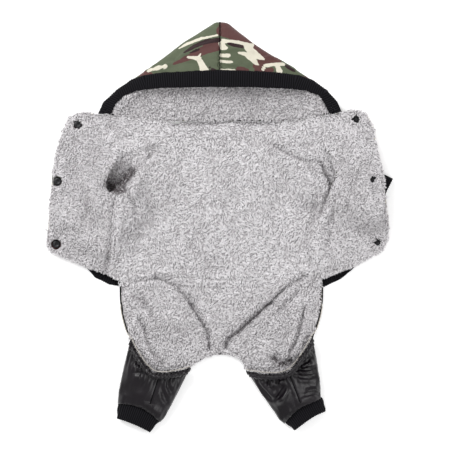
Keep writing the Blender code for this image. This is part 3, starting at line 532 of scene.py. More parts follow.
# %% [markdown]
# ## Snaps, hems and thickness
#
# Pile lies down round a snap, so each snap sits in a shallow dish. The lower hems of the
# two flaps are pulled up a little and show the rib band below them. And no crease may be
# deeper than the pile, or the shell would show through it: a ray shot down from each point
# tells how thick the fabric is there.

# %% Snap places
snap_places = {}
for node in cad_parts:
    if node.startswith("snap_"):
        low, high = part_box(node)
        snap_places[node] = np.array(((low.x + high.x) / 2, (low.y + high.y) / 2, high.z))
        print(node, "wide", round((high.x - low.x) / MM, 1), "top", round(high.z / MM, 1))


def snap_distance(places, side):
    nearest = np.full(len(places), 1.0)
    for node, centre in snap_places.items():
        if side in node:
            nearest = np.minimum(nearest, np.linalg.norm(places[:, :2] - centre[:2], axis=1))
    return nearest


# %% Hem lines and thickness
HEMS = {
    -1: [(-239, -32), (-187, -53), (-157, -63.5), (-139, -71.5)],
    1: [(144, -68), (167, -60), (191, -51), (230, -30)],
}


def pull_hems(points, upto=139):
    """Moves what is below a flap's hem line up to it."""
    for sign, line in HEMS.items():
        outside = points[:, 0] * sign > upto * MM
        hem = np.interp(points[:, 0] / MM, [x for x, _ in line], [y for _, y in line]) * MM
        below = outside & (points[:, 1] < hem)
        points[below, 1] = hem[below] + 0.12 * (points[below, 1] - hem[below])
    return points


def thickness_below(piece):
    """How thick the cloth is under each point that faces up."""
    tree = tree_of(piece)
    thick = np.full(len(piece.data.vertices), 1.0)
    places, facing = points_of(piece), normals_of(piece)[:, 2]
    for index in np.nonzero(facing > 0.1)[0]:
        hit = tree.ray_cast(Vector(places[index]) - Vector((0, 0, 2e-4)), Vector((0, 0, -1)))
        if hit[0] is not None:
            thick[index] = hit[3]
    return thick


# %% Press the creases in
shape, away = points_of(lining), normals_of(lining)
upper = smooth((away[:, 2] - 0.1) / 0.5)
lift = crease_height(shape) + 1.5 * MM * ripple(shape, 26 * MM, 3) + 0.9 * MM * ripple(shape, 9 * MM, 5)
near_snap = np.minimum(snap_distance(shape, "left") - 6.5 * MM, snap_distance(shape, "right") - 3.6 * MM)
lift -= (2.2 * MM + lift) * smooth(1 - near_snap / (5 * MM))
lift = np.maximum(lift, 1.4 * MM - thickness_below(lining))
shape[:, 2] += lift * upper

puff = np.full(len(shape), 0.7 * MM)
free_edge = (np.abs(shape[:, 0]) > 150 * MM) | ((shape[:, 1] < -150 * MM) & (np.abs(shape[:, 0]) < 55 * MM))
puff[free_edge] = -1.8 * MM
wavy = 0.9 * MM * ripple(shape, 11 * MM, 8)
shape += away * ((puff + wavy) * (1 - upper))[:, None]
shape = pull_hems(shape)
shape[:, 2] = np.maximum(shape[:, 2], 2.3 * MM)
move_points(lining, shape)
dress(lining, ground_dye, "fleece", *BODY_LININGS)

# %% [markdown]
# ## The hood, sleeve and leg linings
#
# These are pockets of the same sherpa. We see the lower layer of the hood below the rib
# band, the dark inside of the armholes, and a little of the leg linings at their mouths.

# %% Inner linings
hood_lining = one_skin("sherpa_hood", 2.8 * MM, 4, "hood_lining")
shape = points_of(hood_lining)
shape += normals_of(hood_lining) * (0.8 * MM + 0.9 * MM * ripple(shape, 14 * MM, 11))[:, None]
shape[:, 2] -= 1.0 * MM * np.exp(-((path_distance(shape, [(-90, 147), (95, 149)]) / 3) ** 2))
move_points(hood_lining, shape)
dress(hood_lining, ground_dye, "fleece", "hood_lining")

inner_linings = {}
for node in ("sleeve_lining_left", "sleeve_lining_right", "leg_lining_left", "leg_lining_right"):
    inner_linings[node] = one_skin(node.replace("lining", "sherpa"), 2.2 * MM, 4, node)
    dress(inner_linings[node], ground_dye, "fleece", node)

# %% [markdown]
# ## Into the sleeves
#
# At an armhole the lining of the back dips and runs on into the sleeve. We build that dip
# as a ramp: a small grid, high at its upper end and low where it goes in under the rim.
# Rays from above tell how high the lining stands round it.

# %% Ramps
lining_tree = tree_of(lining)
SLEEVE_FLOOR = 10 * MM


def height_at(x, y):
    hit = lining_tree.ray_cast(Vector((x * MM, y * MM, 0.2)), Vector((0, 0, -1)))
    return hit[0].z if hit[0] else SLEEVE_FLOOR


def make_ramp(name, low_end, high_end, half_width, haste, above):
    """haste says how soon the ramp is up: 1 at its upper end, 3 a third of the way."""
    low, high = np.array(low_end, float), np.array(high_end, float)
    ahead = (high - low) / np.linalg.norm(high - low)
    beside = np.array((-ahead[1], ahead[0]))
    rim = height_at(*(high + ahead * 6))
    cut = bmesh.new()
    rows = []
    for step in range(33):
        share = step / 32
        row = []
        for across in np.linspace(-1, 1, 17):
            plan = low + (high - low) * share + beside * across * half_width
            climb = float(smooth(share * haste))
            up = SLEEVE_FLOOR + (rim - SLEEVE_FLOOR + above * MM) * climb + 1.5 * MM * across**2 * (1 - climb)
            row.append(cut.verts.new((plan[0] * MM, plan[1] * MM, up)))
        rows.append(row)
    for row, following in zip(rows, rows[1:]):
        for left, right, far_left, far_right in zip(row, row[1:], following, following[1:]):
            cut.faces.new((left, far_left, far_right, right))
    cut.normal_update()
    if cut.faces[:][0].normal.z < 0:
        bmesh.ops.reverse_faces(cut, faces=cut.faces)
    ramp = make_piece(name, cut)
    ramp.data.shade_smooth()
    print(name, "rim at", round(rim / MM, 1), "mm")
    return dress(ramp, ground_dye, "fleece")


ramps = {
    "left": make_ramp("ramp_left", (-158, 44), (-116, 116), 21, 1.7, -0.4),
    "right": make_ramp("ramp_right", (160, 50), (135, 116), 13, 4.5, 1.6),
}

# %% [markdown]
# ## The free edge of the seat
#
# The trousers' seat ends in a narrow black piping, and lower down in the pale tape of the
# leg mouths. The pile is cut short along both. Rays from the side find where that edge
# is, and a running mean takes the jumps out of what they find.

# %% Find the seat's edge
tape_cloth = cloth_copy(("leg_binding_left", "leg_binding_right"))
tape_tree = BVHTree.FromBMesh(tape_cloth)
tape_cloth.free()
edge_cloth = cloth_copy(("seat_lining", "seat_shell"))
edge_tree = BVHTree.FromBMesh(edge_cloth)
edge_cloth.free()
EDGE_HEIGHT = 6.0 * MM
seat_edges = {}
for side, sign, first, last in (("left", -1, -80, -150), ("right", 1, -84, -154)):
    heights = np.linspace(first, last, 40) * MM
    found = []
    for y in heights:
        for z in (EDGE_HEIGHT, 4 * MM, 8 * MM, 12 * MM):
            hit = edge_tree.ray_cast(Vector((sign * 0.3, y, z)), Vector((-sign, 0, 0)))
            if hit[0] and abs(hit[0].x) > 0.08:
                found.append((y, hit[0].x))
                break
    found = np.array(sorted(found))
    reach = np.interp(heights, found[:, 0], found[:, 1])
    padded_reach = np.pad(reach, 3, mode="edge")
    reach = np.convolve(padded_reach, np.ones(7) / 7, mode="valid") + sign * 1.2 * MM
    seat_edges[side] = [(x, y, EDGE_HEIGHT) for x, y in zip(reach, heights)]
    print("seat edge", side, "from", seat_edges[side][0], "to", seat_edges[side][-1])

# %% [markdown]
# ## Planting the tufts
#
# Hair particles would be the usual way to make fur, but sherpa isn't hair: it is thousands
# of short curled locks. So each lock is a small curved spindle, built once as a template,
# then copied with its own place, lean, curl and size. NumPy does all copies at once, and
# a region's locks become one mesh.

# %% The template of one lock
STATIONS = np.array([0, 0.34, 0.34, 0.34, 0.78, 0.78, 0.78, 1])
THICKNESS = np.array([0, 1, 1, 1, 0.75, 0.75, 0.75, 0])
TIP_LIGHT = np.array([0.10, 0.62, 0.62, 0.62, 0.95, 0.95, 0.95, 0.85])
TURN = np.radians([0, 90, 210, 330, 90, 210, 330, 0])
LOCK_FACES = [(0, 1, 2), (0, 2, 3), (0, 3, 1), (4, 7, 5), (5, 7, 6), (6, 7, 4)]
for corner in (1, 2, 3):
    following = corner % 3 + 1
    LOCK_FACES += [(corner, corner + 3, following + 3), (corner, following + 3, following)]
LOCK_FACES = np.array(LOCK_FACES)
LOCK_POINTS = len(STATIONS)
print("one lock has", len(LOCK_FACES), "triangles")

# %% Scatter places over a skin


def scatter(skin, count, seed, keep):
    """Random places on the faces that keep() allows, spread evenly by area."""
    mesh = skin.data
    mesh.calc_loop_triangles()
    corners = np.empty(len(mesh.loop_triangles) * 3, np.int64)
    mesh.loop_triangles.foreach_get("vertices", corners)
    corners = corners.reshape(-1, 3)
    places, normals = points_of(skin), normals_of(skin)
    first, second, third = places[corners[:, 0]], places[corners[:, 1]], places[corners[:, 2]]
    area = np.linalg.norm(np.cross(second - first, third - first), axis=1)
    weight = area * keep((first + second + third) / 3, normals[corners[:, 0]])
    chance = np.random.default_rng(seed)
    chosen = chance.choice(len(corners), count, p=weight / weight.sum())
    share = chance.random((count, 2))
    flip = share.sum(axis=1) > 1
    share[flip] = 1 - share[flip]
    place = first[chosen] + share[:, :1] * (second - first)[chosen] + share[:, 1:] * (third - first)[chosen]
    return place, normals[corners[chosen, 0]], chance


# %% Grow locks at those places


def grow_locks(name, skin, count, seed, keep, length=6.2, width=0.96, rise=2.0, stray=0.6, painted_shade=0.0):
    """length, width and rise are in millimetres; the last argument is painted shade over a region, or at each place
    in it.
    """
    place, normal, chance = scatter(skin, count, seed, keep)
    # Painted shade of the creases, read at each tuft's root.
    dark = crease_painted_shade(place)
    painted_shade = painted_shade(place) if callable(painted_shade) else painted_shade
    flow = 2.2 * ripple(place, 46 * MM, 21) + 1.3 * ripple(place, 13 * MM, 23)
    flow = flow * 1.6 - math.pi / 2 + chance.normal(0, stray, count)
    ahead = np.stack([np.cos(flow), np.sin(flow), np.zeros(count)], axis=1)
    ahead += normal * chance.normal(0.05, 0.22, count)[:, None]
    ahead += normal * (0.9 * (1 - np.abs(normal[:, 2])))[:, None]
    ahead -= normal * np.minimum((ahead * normal).sum(axis=1), 0)[:, None]
    ahead /= np.linalg.norm(ahead, axis=1)[:, None]
    over = normal + np.array([0, 0, 0.35])
    beside = np.cross(over, ahead)
    beside /= np.linalg.norm(beside, axis=1)[:, None]
    over = np.cross(ahead, beside)

    long = length * MM * chance.uniform(0.65, 1.25, count) * (1 - 0.35 * np.minimum(dark, 1))
    thick = width * MM * chance.uniform(0.7, 1.3, count)
    high = rise * MM * chance.uniform(0.5, 1.25, count) * (1 - 0.5 * np.minimum(dark, 1))
    curl = chance.normal(0, 0.32, count) * long

    arch = np.sin(math.pi * np.minimum(STATIONS * 0.62 + 0.02, 1))
    forward = long[:, None] * (STATIONS - 0.35)
    sideways = curl[:, None] * np.sin(math.pi * STATIONS) + thick[:, None] * THICKNESS * np.cos(TURN)
    upwards = high[:, None] * (arch * 1.5 - 0.5) + 0.8 * thick[:, None] * THICKNESS * np.sin(TURN)
    points = place[:, None, :] + forward[..., None] * ahead[:, None, :]
    points = points + sideways[..., None] * beside[:, None, :] + upwards[..., None] * over[:, None, :]
    points[..., 2] = np.maximum(points[..., 2], 0.2 * MM)

    faces = (LOCK_FACES[None] + LOCK_POINTS * np.arange(count)[:, None, None]).reshape(-1, 3)
    mesh = bpy.data.meshes.new(name)
    mesh.from_pydata(points.reshape(-1, 3), [], faces)
    mesh.shade_smooth()
    piece = bpy.data.objects.new(name, mesh)
    bpy.context.scene.collection.objects.link(piece)
    # Each tuft's own random tone, less the painted shade of creases and of its region.
    shade = chance.random(count) - 1.6 * dark - painted_shade
    store(piece, "tuft_shade", np.repeat(shade, LOCK_POINTS))
    store(piece, "tuft_tip", np.tile(TIP_LIGHT, count))
    return dress(piece, tuft_dye, "fleece")


# %% [markdown]
# ## Where the tufts grow
#
# Each region has its own mesh, so none gets too heavy. Tufts need to grow on the top and
# on the raw edges, not on the underside that rests on the shell, and not on the snaps.
# Inside a pocket they may only grow where there is room for them, so a short ray tells
# whether another layer is close above.

# %% Regions
FLAP_LINE = 0.150


def top_and_edges(normals):
    return np.where(normals[:, 2] > 0.25, 1.0, np.where(normals[:, 2] > -0.35, 0.9, 0.0))


def on_back(places, normals):
    inside = (np.abs(places[:, 0]) < FLAP_LINE) & (places[:, 1] > WAIST)
    return inside * top_and_edges(normals)


def off_the_edge(places):
    """Keeps the pile off the tape and the piping, so that both show."""
    clear = np.ones(len(places))
    for index in np.nonzero(places[:, 1] < -0.07)[0]:
        clear[index] = tape_tree.find_nearest(Vector(places[index]), 2.6 * MM)[0] is None
    for line in seat_edges.values():
        clear *= path_distance(places, np.array(line) / MM) > 3.0
    return clear


def on_seat(places, normals):
    return (places[:, 1] <= WAIST) * top_and_edges(normals) * off_the_edge(places)


def on_flap(sign):
    def keep(places, normals):
        outside = (places[:, 0] * sign >= FLAP_LINE) & (places[:, 1] > WAIST - 0.01)
        left_room = np.where(places[:, 1] > 0.1, 7.4, 9.2) * MM
        clear = (snap_distance(places, "left") > left_room) & (snap_distance(places, "right") > 6.0 * MM)
        return outside * clear * top_and_edges(normals)
    return keep


def everywhere(places, normals):
    return np.ones(len(places))


# %% Inside the pockets


def room_above(tree, room):
    """Keeps places that face up and have no other layer closer above than room."""
    def keep(places, normals):
        clear = np.zeros(len(places))
        for index in np.nonzero(normals[:, 2] > 0.2)[0]:
            hit = tree.ray_cast(Vector(places[index]) + Vector((0, 0, 3e-4)), Vector((0, 0, 1)))
            clear[index] = hit[0] is None or hit[3] > room
        return clear
    return keep


def inner_face(tree):
    """Keeps places of a tube's inner side, which look at the tube's other wall."""
    def keep(places, normals):
        inside = np.zeros(len(places))
        for index in range(len(places)):
            outward = Vector(normals[index])
            hit = tree.ray_cast(Vector(places[index]) + outward * 3e-4, outward)
            inside[index] = hit[0] is not None and hit[3] > 4 * MM
        return inside
    return keep


# %% Cover the garment with tufts
upper_hood = cloth_copy(("hood_shell_left", "hood_shell_right", "hood_rib_band"))
in_the_open = room_above(BVHTree.FromBMesh(upper_hood), 9 * MM)
upper_hood.free()


def on_hood(places, normals):
    return in_the_open(places, normals) * (places[:, 1] < 0.205)


def fades_from(x, y, most, least, reach):
    """Painted shade, darkest at one place and lighter away from it."""
    def painted_shade(places):
        away = np.linalg.norm(places[:, :2] / MM - (x, y), axis=1)
        return most + (least - most) * smooth(away / reach)
    return painted_shade


def upper_back(places, normals):
    return on_back(places, normals) * (places[:, 1] > 0.03)


def lower_back(places, normals):
    return on_back(places, normals) * (places[:, 1] <= 0.03)


# The last value of each call paints shade over its region: most in the hood's lower layer under the band, on the
# flaps, at the way into each sleeve and inside the tubes.
grow_locks("tufts_back_upper", lining, 10200, 31, upper_back, length=6.6, stray=0.42, painted_shade=0.05)
grow_locks("tufts_back_lower", lining, 10200, 32, lower_back, length=6.6, stray=0.42)
grow_locks("tufts_flap_left", lining, 7500, 33, on_flap(-1), length=5.4, painted_shade=0.45)
grow_locks("tufts_flap_right", lining, 7100, 34, on_flap(1), length=5.4, painted_shade=0.3)
grow_locks("tufts_seat", lining, 9400, 35, on_seat, stray=0.5, painted_shade=0.28)
grow_locks("tufts_hood", hood_lining, 4900, 36, on_hood, stray=0.5, painted_shade=0.75)
# Painted shade, deepest where the pile goes in under each armhole's rim.
left_way_in_shade, right_way_in_shade = fades_from(-152, 50, 1.3, 0.2, 62), fades_from(157, 54, 1.0, 0.0, 12)
grow_locks("tufts_ramp_left", ramps["left"], 1100, 44, everywhere, painted_shade=left_way_in_shade)
grow_locks("tufts_ramp_right", ramps["right"], 800, 45, everywhere, painted_shade=right_way_in_shade)
for number, (node, skin) in enumerate(inner_linings.items()):
    grow_locks(node.replace("lining", "tufts"), skin, 300, 50 + number, inner_face(tree_of(skin)), painted_shade=1.0)

# %% [markdown]
# ## Woodland print
#
# The hood is sewn from two halves of a common woodland camouflage: green ground, red-brown
# and dark blots, and cream branches with hard edges. A blot is painted as a brush stroke:
# a path with a radius at each stop. The mesh stores how deep inside the nearest stroke
# each point is, and the material cuts that number at zero, which gives an edge that is
# sharp between the points of the mesh too.

# %% Strokes of the print: x, y and radius in millimetres
CREAM_STROKES = (
    # left half
    [(-3.5, 269, 1.2), (-26, 264.6, 1.8), (-46, 257, 1.9), (-58, 250.5, 1.0)],
    [(-45, 238.5, 1.6), (-31, 237, 3.0), (-27.5, 232, 4.2), (-25, 226, 4.6), (-22, 219, 6.5)],
    [(-27.5, 243, 1.2), (-28, 237, 2.6)],
    [(-101, 219, 2.0), (-96, 221, 2.2)],
    [(-90, 222, 3.0), (-85, 224, 3.2)],
    [(-78, 225, 3.2), (-76.5, 226, 3.0)],
    # right half
    [(0.5, 261, 3.0), (14, 260.5, 2.6), (26, 259.3, 2.2), (38, 256.4, 2.6), (45, 254.5, 2.6)],
    [(2, 258, 4.4), (4, 252, 4.4), (9, 251.5, 2.2)],
    [(38, 252, 4.2), (44, 246, 5.5), (52, 240, 4.4), (61, 236, 2.0)],
    [(26, 244.6, 1.6), (34, 243.5, 2.6), (42, 238.5, 4.2), (49, 232, 3.6), (52, 228.5, 2.0)],
    [(44, 254, 3.0), (46.5, 258, 1.0)],
    [(1, 241, 2.6), (12, 240.6, 2.9)],
    [(1, 232.5, 2.0), (16, 231.5, 2.0)],
    [(1, 220.3, 1.8), (20, 219.5, 2.2)],
    [(60, 221, 2.4), (63, 226.5, 2.6), (74, 228, 2.6), (86, 228.5, 2.4), (89, 228, 2.2)],
    [(80, 227, 3.0), (83, 219, 4.4)],
)
BARK_STROKES = (
    [(-2, 256, 8.0), (-20, 249, 6.5), (-36, 241.5, 5.0), (-50, 235, 3.4), (-65, 229, 1.6)],
    [(-112, 216, 5.0), (-98, 213, 4.5)],
    [(-4, 262, 2.0), (-22, 256, 2.5)],
    [(10, 282, 12.0), (18, 272, 10), (34, 264, 9.0), (52, 251, 8.0), (68, 240, 8.0), (80, 231, 6.0)],
    [(3, 275, 8.0), (10, 269, 4.0)],
    [(26, 221.5, 4.0), (36, 219, 4.5)],
    [(50, 226, 4.5), (57, 232, 5.0), (66, 234, 5.0)],
    [(54, 219, 6.0), (58, 224, 5.5)],
    [(66, 219, 3.6), (72, 221, 3.6)],
)
SOIL_STROKES = (
    [(-2, 262.5, 3.6), (-20, 260, 3.4), (-36, 253.5, 2.6), (-50, 245, 1.4)],
    [(10.5, 257.6, 1.3), (19, 255.5, 2.4), (29, 253.4, 2.2), (32, 251.6, 1.5)],
    [(-14, 224, 1.6), (-9, 220, 2.6), (-5, 218, 2.6)],
    [(-30, 249, 1.6), (-44, 243.5, 1.0)],
    [(93, 226, 2.4), (104, 219, 2.0)],
)


def depth_in(points, strokes):
    """How deep inside the nearest stroke each point is, in millimetres."""
    plan = plan_of(points)
    depth = np.full(len(plan), -30.0)
    for stroke in strokes:
        for start, end in zip(stroke, stroke[1:]):
            first, line = np.array(start[:2], float), np.subtract(end[:2], start[:2]).astype(float)
            share = np.clip((plan - first) @ line / (line @ line), 0, 1)
            gap = np.linalg.norm(plan - first - share[:, None] * line, axis=1)
            depth = np.maximum(depth, start[2] + (end[2] - start[2]) * share - gap)
    return depth


# %% Woodland material
LEAF = paint(81, 88, 70)
BARK = paint(89, 59, 57)
SOIL = paint(48, 33, 35)
CREAM = paint(212, 207, 191)


def woodland(name, shift, turn):
    dye = Dye(name, roughness=0.6, sheen=0.03, gloss=0.15)
    base = dye.stretch((1, 1, 1), shift=shift, turn=turn)
    bent = dye.nodes.new("ShaderNodeVectorMath")
    bent.operation = "MULTIPLY_ADD"
    bent.inputs[1].default_value = (0.030, 0.030, 0.030)
    dye.links.new(dye.noise(30, detail=1, place=base, output="Color"), bent.inputs[0])
    dye.links.new(base, bent.inputs[2])
    place = bent.outputs[0]
    free = dye.attribute("print_free")
    held = dye.sums("SUBTRACT", 1.0, free)
    wobble = dye.sums("MULTIPLY_ADD", dye.noise(150, detail=2), 2.4, -1.2)

    def either(blots, stroke):
        """Free blots where there are no strokes, and strokes elsewhere."""
        painted = dye.sums("GREATER_THAN", dye.sums("ADD", dye.attribute(stroke), wobble), 0.0)
        return dye.sums("MULTIPLY_ADD", blots, free, dye.sums("MULTIPLY", painted, held))

    bark = dye.sums("GREATER_THAN", dye.noise(17, detail=0.6, place=dye.stretch((1, 1.9, 1), place)), 0.53)
    soil = dye.noise(24, detail=0.6, place=dye.stretch((1, 2.2, 1), place, shift=(3.1, 0.4, 0)))
    soil = dye.sums("GREATER_THAN", soil, 0.62)
    cream = dye.noise(19, detail=0.8, place=dye.stretch((1.1, 1.7, 1), place, shift=(0.7, 5.2, 0)))
    cream = dye.sums("LESS_THAN", dye.sums("ABSOLUTE", dye.sums("SUBTRACT", cream, 0.5)), 0.032)
    green = dye.mix(dye.noise(60), LEAF, tuple(channel * 1.3 for channel in LEAF))
    cloth = dye.mix(either(bark, "bark_depth"), green, BARK)
    cloth = dye.mix(either(cream, "cream_depth"), cloth, CREAM)
    cloth = dye.mix(either(soil, "soil_depth"), cloth, SOIL)
    worn = dye.mix(dye.noise(900, detail=1), (0.88, 0.88, 0.88), (1.05, 1.05, 1.05))
    dye.colour(dye.mix(1.0, cloth, worn, "MULTIPLY"))
    dye.bump(dye.weave(0.9 * MM), 0.12 * MM)
    return dye


def store_strokes(piece, free=None):
    points = points_of(piece)
    store(piece, "cream_depth", depth_in(points, CREAM_STROKES))
    store(piece, "bark_depth", depth_in(points, BARK_STROKES))
    store(piece, "soil_depth", depth_in(points, SOIL_STROKES))
    lower = smooth((212 * MM - points[:, 1]) / (3 * MM)) if free is None else np.ones(len(points))
    store(piece, "print_free", lower)


hood_print = woodland("woodland_hood", (0.31, 0.12, 0), 20)
body_print = woodland("woodland_body", (0.9, 0.2, 0), 8)
print("woodland print in two cuts")

# %% [markdown]
# ## The hood's printed shell
#
# The two halves meet in a seam down the middle. The seam pulls the cloth in, so small
# puckers run away from it and die out, and the fabric is slack between seam and edge. A
# few folds lie across the forehead where the hood has been pressed flat.

# %% Hood halves
HOOD_FOLDS = (
    [(-60, 236), (-38, 250), (-6, 262)],
    [(-84, 224), (-58, 233), (-30, 236)],
    [(4, 246), (24, 252), (44, 246)],
    [(30, 224), (48, 234), (70, 238)],
    [(8, 230), (26, 228)],
)
for side in ("left", "right"):
    node = f"hood_shell_{side}"
    half = softened(f"hood_{side}", 3, node)
    shape, away = points_of(half), normals_of(half)
    inwards, along = np.abs(shape[:, 0]) / MM, shape[:, 1] / MM
    lift = 0.6 * np.exp(-inwards / 8) * np.sin(along / 1.5 + 2 * ripple(shape, 20 * MM, 61))
    lift += 1.4 * ripple(shape, 30 * MM, 62) + 0.7 * ripple(shape, 11 * MM, 63)
    near_band = np.exp(-(((along - 219) / 5) ** 2))
    lift += 0.8 * near_band * np.sin(shape[:, 0] / MM / 2.2 + 3 * ripple(shape, 25 * MM, 64))
    for fold in HOOD_FOLDS:
        gap = path_distance(shape, fold)
        lift += 1.5 * np.exp(-((gap / 3.0) ** 2)) - 1.0 * np.exp(-(((gap - 5) / 3) ** 2))
    lift -= 1.4 * np.exp(-((inwards / 2.0) ** 2))
    shape += away * (lift * MM * smooth((away[:, 2] + 0.2) / 0.5))[:, None]
    shape[:, 2] = np.maximum(shape[:, 2], 0)
    move_points(half, shape)
    store_strokes(half)
    dress(half, hood_print, "camouflage", node)

# %% [markdown]
# ## Black fabrics, tape and snaps
#
# Four blacks have to be told apart by gloss alone. Coated nylon is smooth and catches
# soft highlights; ribbed knit is matt with a faint fuzz; moulded snaps have a tight gloss.
# The pale tape round the leg mouths is a plain weave. The rib's columns are painted lighter
# on their tops and darker between them, a painted highlight and shade, from a number on its
# mesh that counts ribs, so they stay sharp between the mesh's points.

# %% Black fabrics
nylon_dye = Dye("black_nylon", roughness=0.4, gloss=0.35)
clouds = nylon_dye.noise(26, detail=3)
nylon_dye.colour(nylon_dye.ramp(clouds, [(0.3, paint(8, 4, 9)), (0.7, paint(18, 12, 19))]))
nylon_dye.roughness(clouds, 0.24, 0.36)
nylon_dye.bump(nylon_dye.sums("ADD", nylon_dye.weave(0.7 * MM), nylon_dye.noise(300, detail=2)), 0.03 * MM)

rib_dye = Dye("black_rib_knit", roughness=0.9, sheen=0.03, gloss=0.08)
column = rib_dye.sums("COSINE", rib_dye.sums("MULTIPLY", rib_dye.attribute("rib_count"), 2 * math.pi))
column = rib_dye.sums("MULTIPLY_ADD", column, 0.5, 0.5)
# Painted highlight on the tops of the columns and painted shade between them.
ribs = rib_dye.ramp(column, [(0.15, paint(9, 9, 11)), (0.9, paint(28, 27, 31))])
lint = rib_dye.mix(rib_dye.noise(700, detail=3), (0.75, 0.75, 0.75), (1.25, 1.25, 1.25))
rib_dye.colour(rib_dye.mix(1.0, ribs, lint, "MULTIPLY"))
rib_dye.bump(rib_dye.sums("MULTIPLY_ADD", rib_dye.noise(1500, detail=1), 0.3, column), 0.4 * MM)

tape_dye = Dye("pale_tape", roughness=0.8, sheen=0.1)
marks = tape_dye.noise(140, detail=2)
tape_dye.colour(tape_dye.ramp(marks, [(0.3, paint(168, 162, 154)), (0.7, paint(212, 207, 198))]))
tape_dye.bump(tape_dye.weave(0.6 * MM), 0.15 * MM)

snap_dye = Dye("snap_plastic", roughness=0.34)
scuffs = snap_dye.noise(500, detail=3, warp=0.4)
snap_dye.colour(snap_dye.ramp(scuffs, [(0.4, paint(14, 14, 17)), (0.8, paint(32, 32, 37))]))
snap_dye.bump(scuffs, 0.05 * MM)

thread_dye = Dye("black_thread", roughness=0.8, gloss=0.05)
twist = thread_dye.noise(2600, detail=1)
thread_dye.colour(thread_dye.ramp(twist, [(0.3, paint(5, 5, 6)), (0.8, paint(16, 15, 17))]))
thread_dye.bump(twist, 0.1 * MM)
print("black fabrics ready")

# %% [markdown]
# ## Ribbed bands
#
# Rib knit is rows of raised columns. The columns run across the hood band and the hem, and
# along the cuffs. A fine voxel skin has enough points to carry real ribs, so a cosine wave
# along the band pushes them in and out.

# %% A ribbed skin


def ribbed(name, node, travelled, pitch, depth, voxel, puff=0.0):
    """travelled() gives each point's way across the ribs, in millimetres."""
    band = one_skin(name, voxel, 2, node)
    shape = points_of(band)
    count = travelled(shape) / pitch
    lift = puff + depth * np.cos(2 * math.pi * count) + 0.5 * ripple(shape, 15 * MM, 66)
    shape += normals_of(band) * (lift * MM)[:, None]
    shape[:, 2] = np.maximum(shape[:, 2], 0)
    move_points(band, shape)
    store(band, "rib_count", count)
    return dress(band, rib_dye, "black_rib", node)


def along_band(path):
    return lambda points: nearest_on(points, path)[1]


HOOD_BAND_PATH = [(-158, 158), (-145, 188), (-105, 203), (-60, 207), (0, 208), (60, 207), (105, 203), (145, 188), (158, 158)]
WAIST_PATH = [(-190, -40), (-163, -68), (-145, -74), (0, -76), (142, -77), (168, -68), (192, -42)]
ribbed("hood_rib", "hood_rib_band", along_band(HOOD_BAND_PATH), 3.1, 0.30, 1.1 * MM, puff=0.8)
ribbed("waist_rib", "waist_rib_band", along_band(WAIST_PATH), 3.1, 0.22, 1.4 * MM)

# %% Cuffs
CUFF_TURNS = {"leg_cuff_left": -23.2, "leg_cuff_right": 33.0, "sleeve_cuff_left": -60.0, "sleeve_cuff_right": -27.0}


def across_cuff(turn):
    ahead = np.array([math.cos(math.radians(turn)), math.sin(math.radians(turn))])
    return lambda points: points[:, :2] @ ahead / MM


for node, turn in CUFF_TURNS.items():
    fine = 0.9 * MM if node.startswith("leg") else 1.5 * MM
    ribbed(node.replace("cuff", "rib_cuff"), node, across_cuff(turn), 2.7, 0.32, fine)

# %% [markdown]
# ## Nylon legs
#
# The trouser legs are thin coated nylon, gathered onto elastic at the mouth and onto the
# rib at the cuff. Gathers are waves round the leg that fade away from the elastic. Longer
# folds each have their own path: a valley with a rounded bank on one side, which is where
# the highlights sit, and both fade out at the path's ends. Only what faces up is moved, so
# the leg keeps its clean outline.

# %% Where each leg lies and how it folds
Leg = namedtuple("Leg", "sign mouth splay width relief seam folds")
LEGS = {
    "left": Leg(-1, (-83, -176), 19.7, 93, 2.2, [(-82.5, -200), (-98.5, -249)], (
        [(-81, -216), (-80, -236), (-69, -252)],
        [(-71.7, -208), (-74, -224), (-66, -234)],
        [(-116, -174), (-106, -184), (-96, -190)],
        [(-123, -187), (-112, -191), (-102, -193)],
        [(-125, -204), (-112, -203), (-103, -207)],
        [(-53, -222), (-61, -241)],
    )),
    "right": Leg(1, (83, -176), 21.8, 105, 4.4, [(95, -201), (113, -247)], (
        [(93, -219), (87, -232), (74, -245)],
        [(70, -212), (65.5, -224)],
        [(82, -210), (79, -221)],
        [(100, -205), (119, -210), (136, -207)],
        [(108, -195), (121, -188), (131, -176)],
        [(104, -199), (124, -199), (138, -192)],
        [(50, -214), (63, -232), (78, -246)],
        [(118, -238), (132, -232), (143, -236)],
    )),
}


def leg_place(leg, points):
    """How far down the leg each point is, and how far across it, in millimetres."""
    turned = math.radians(leg.splay)
    down = np.array([leg.sign * math.sin(turned), -math.cos(turned)])
    inward = np.array([-leg.sign * math.cos(turned), -math.sin(turned)])
    offset = points[:, :2] / MM - np.array(leg.mouth)
    return offset @ down, offset @ inward, inward


# %% Where a leg meets its cuff
def bowed(leg, points, hold, flare=0.0):
    """Bends the seam between leg and cuff up in its middle; hold() says how much."""
    along, across, inward = leg_place(leg, points)
    middle = np.clip(1 - (across / 30) ** 2, 0, 1) * hold(along)
    down = np.array((-inward[1] * leg.sign, inward[0] * leg.sign))
    wider = across * flare * (1 - smooth((along - 86) / 20))
    points[:, :2] += (wider[:, None] * inward - 7.0 * middle[:, None] * down) * MM
    return points


# %% How far from another piece
def distance_to(points, node):
    cloth = cloth_copy((node,))
    tree = BVHTree.FromBMesh(cloth)
    cloth.free()
    return np.array([tree.find_nearest(Vector(point))[3] for point in points])


# %% One fold
def fold_lift(points, path, depth, width):
    """A valley with a round bank on the left of its path, fading at both ends."""
    path = curved(path)
    gap, travelled, side = nearest_on(points, path)
    length = path_length(path)
    fade = smooth(np.minimum(travelled, length - travelled) / (0.45 * length))
    bank = np.exp(-(((gap - 2.4 * width) / (1.5 * width)) ** 2)) * np.where(side > 0, 0.9, 0.3)
    return depth * fade * (bank - np.exp(-((gap / width) ** 2)))


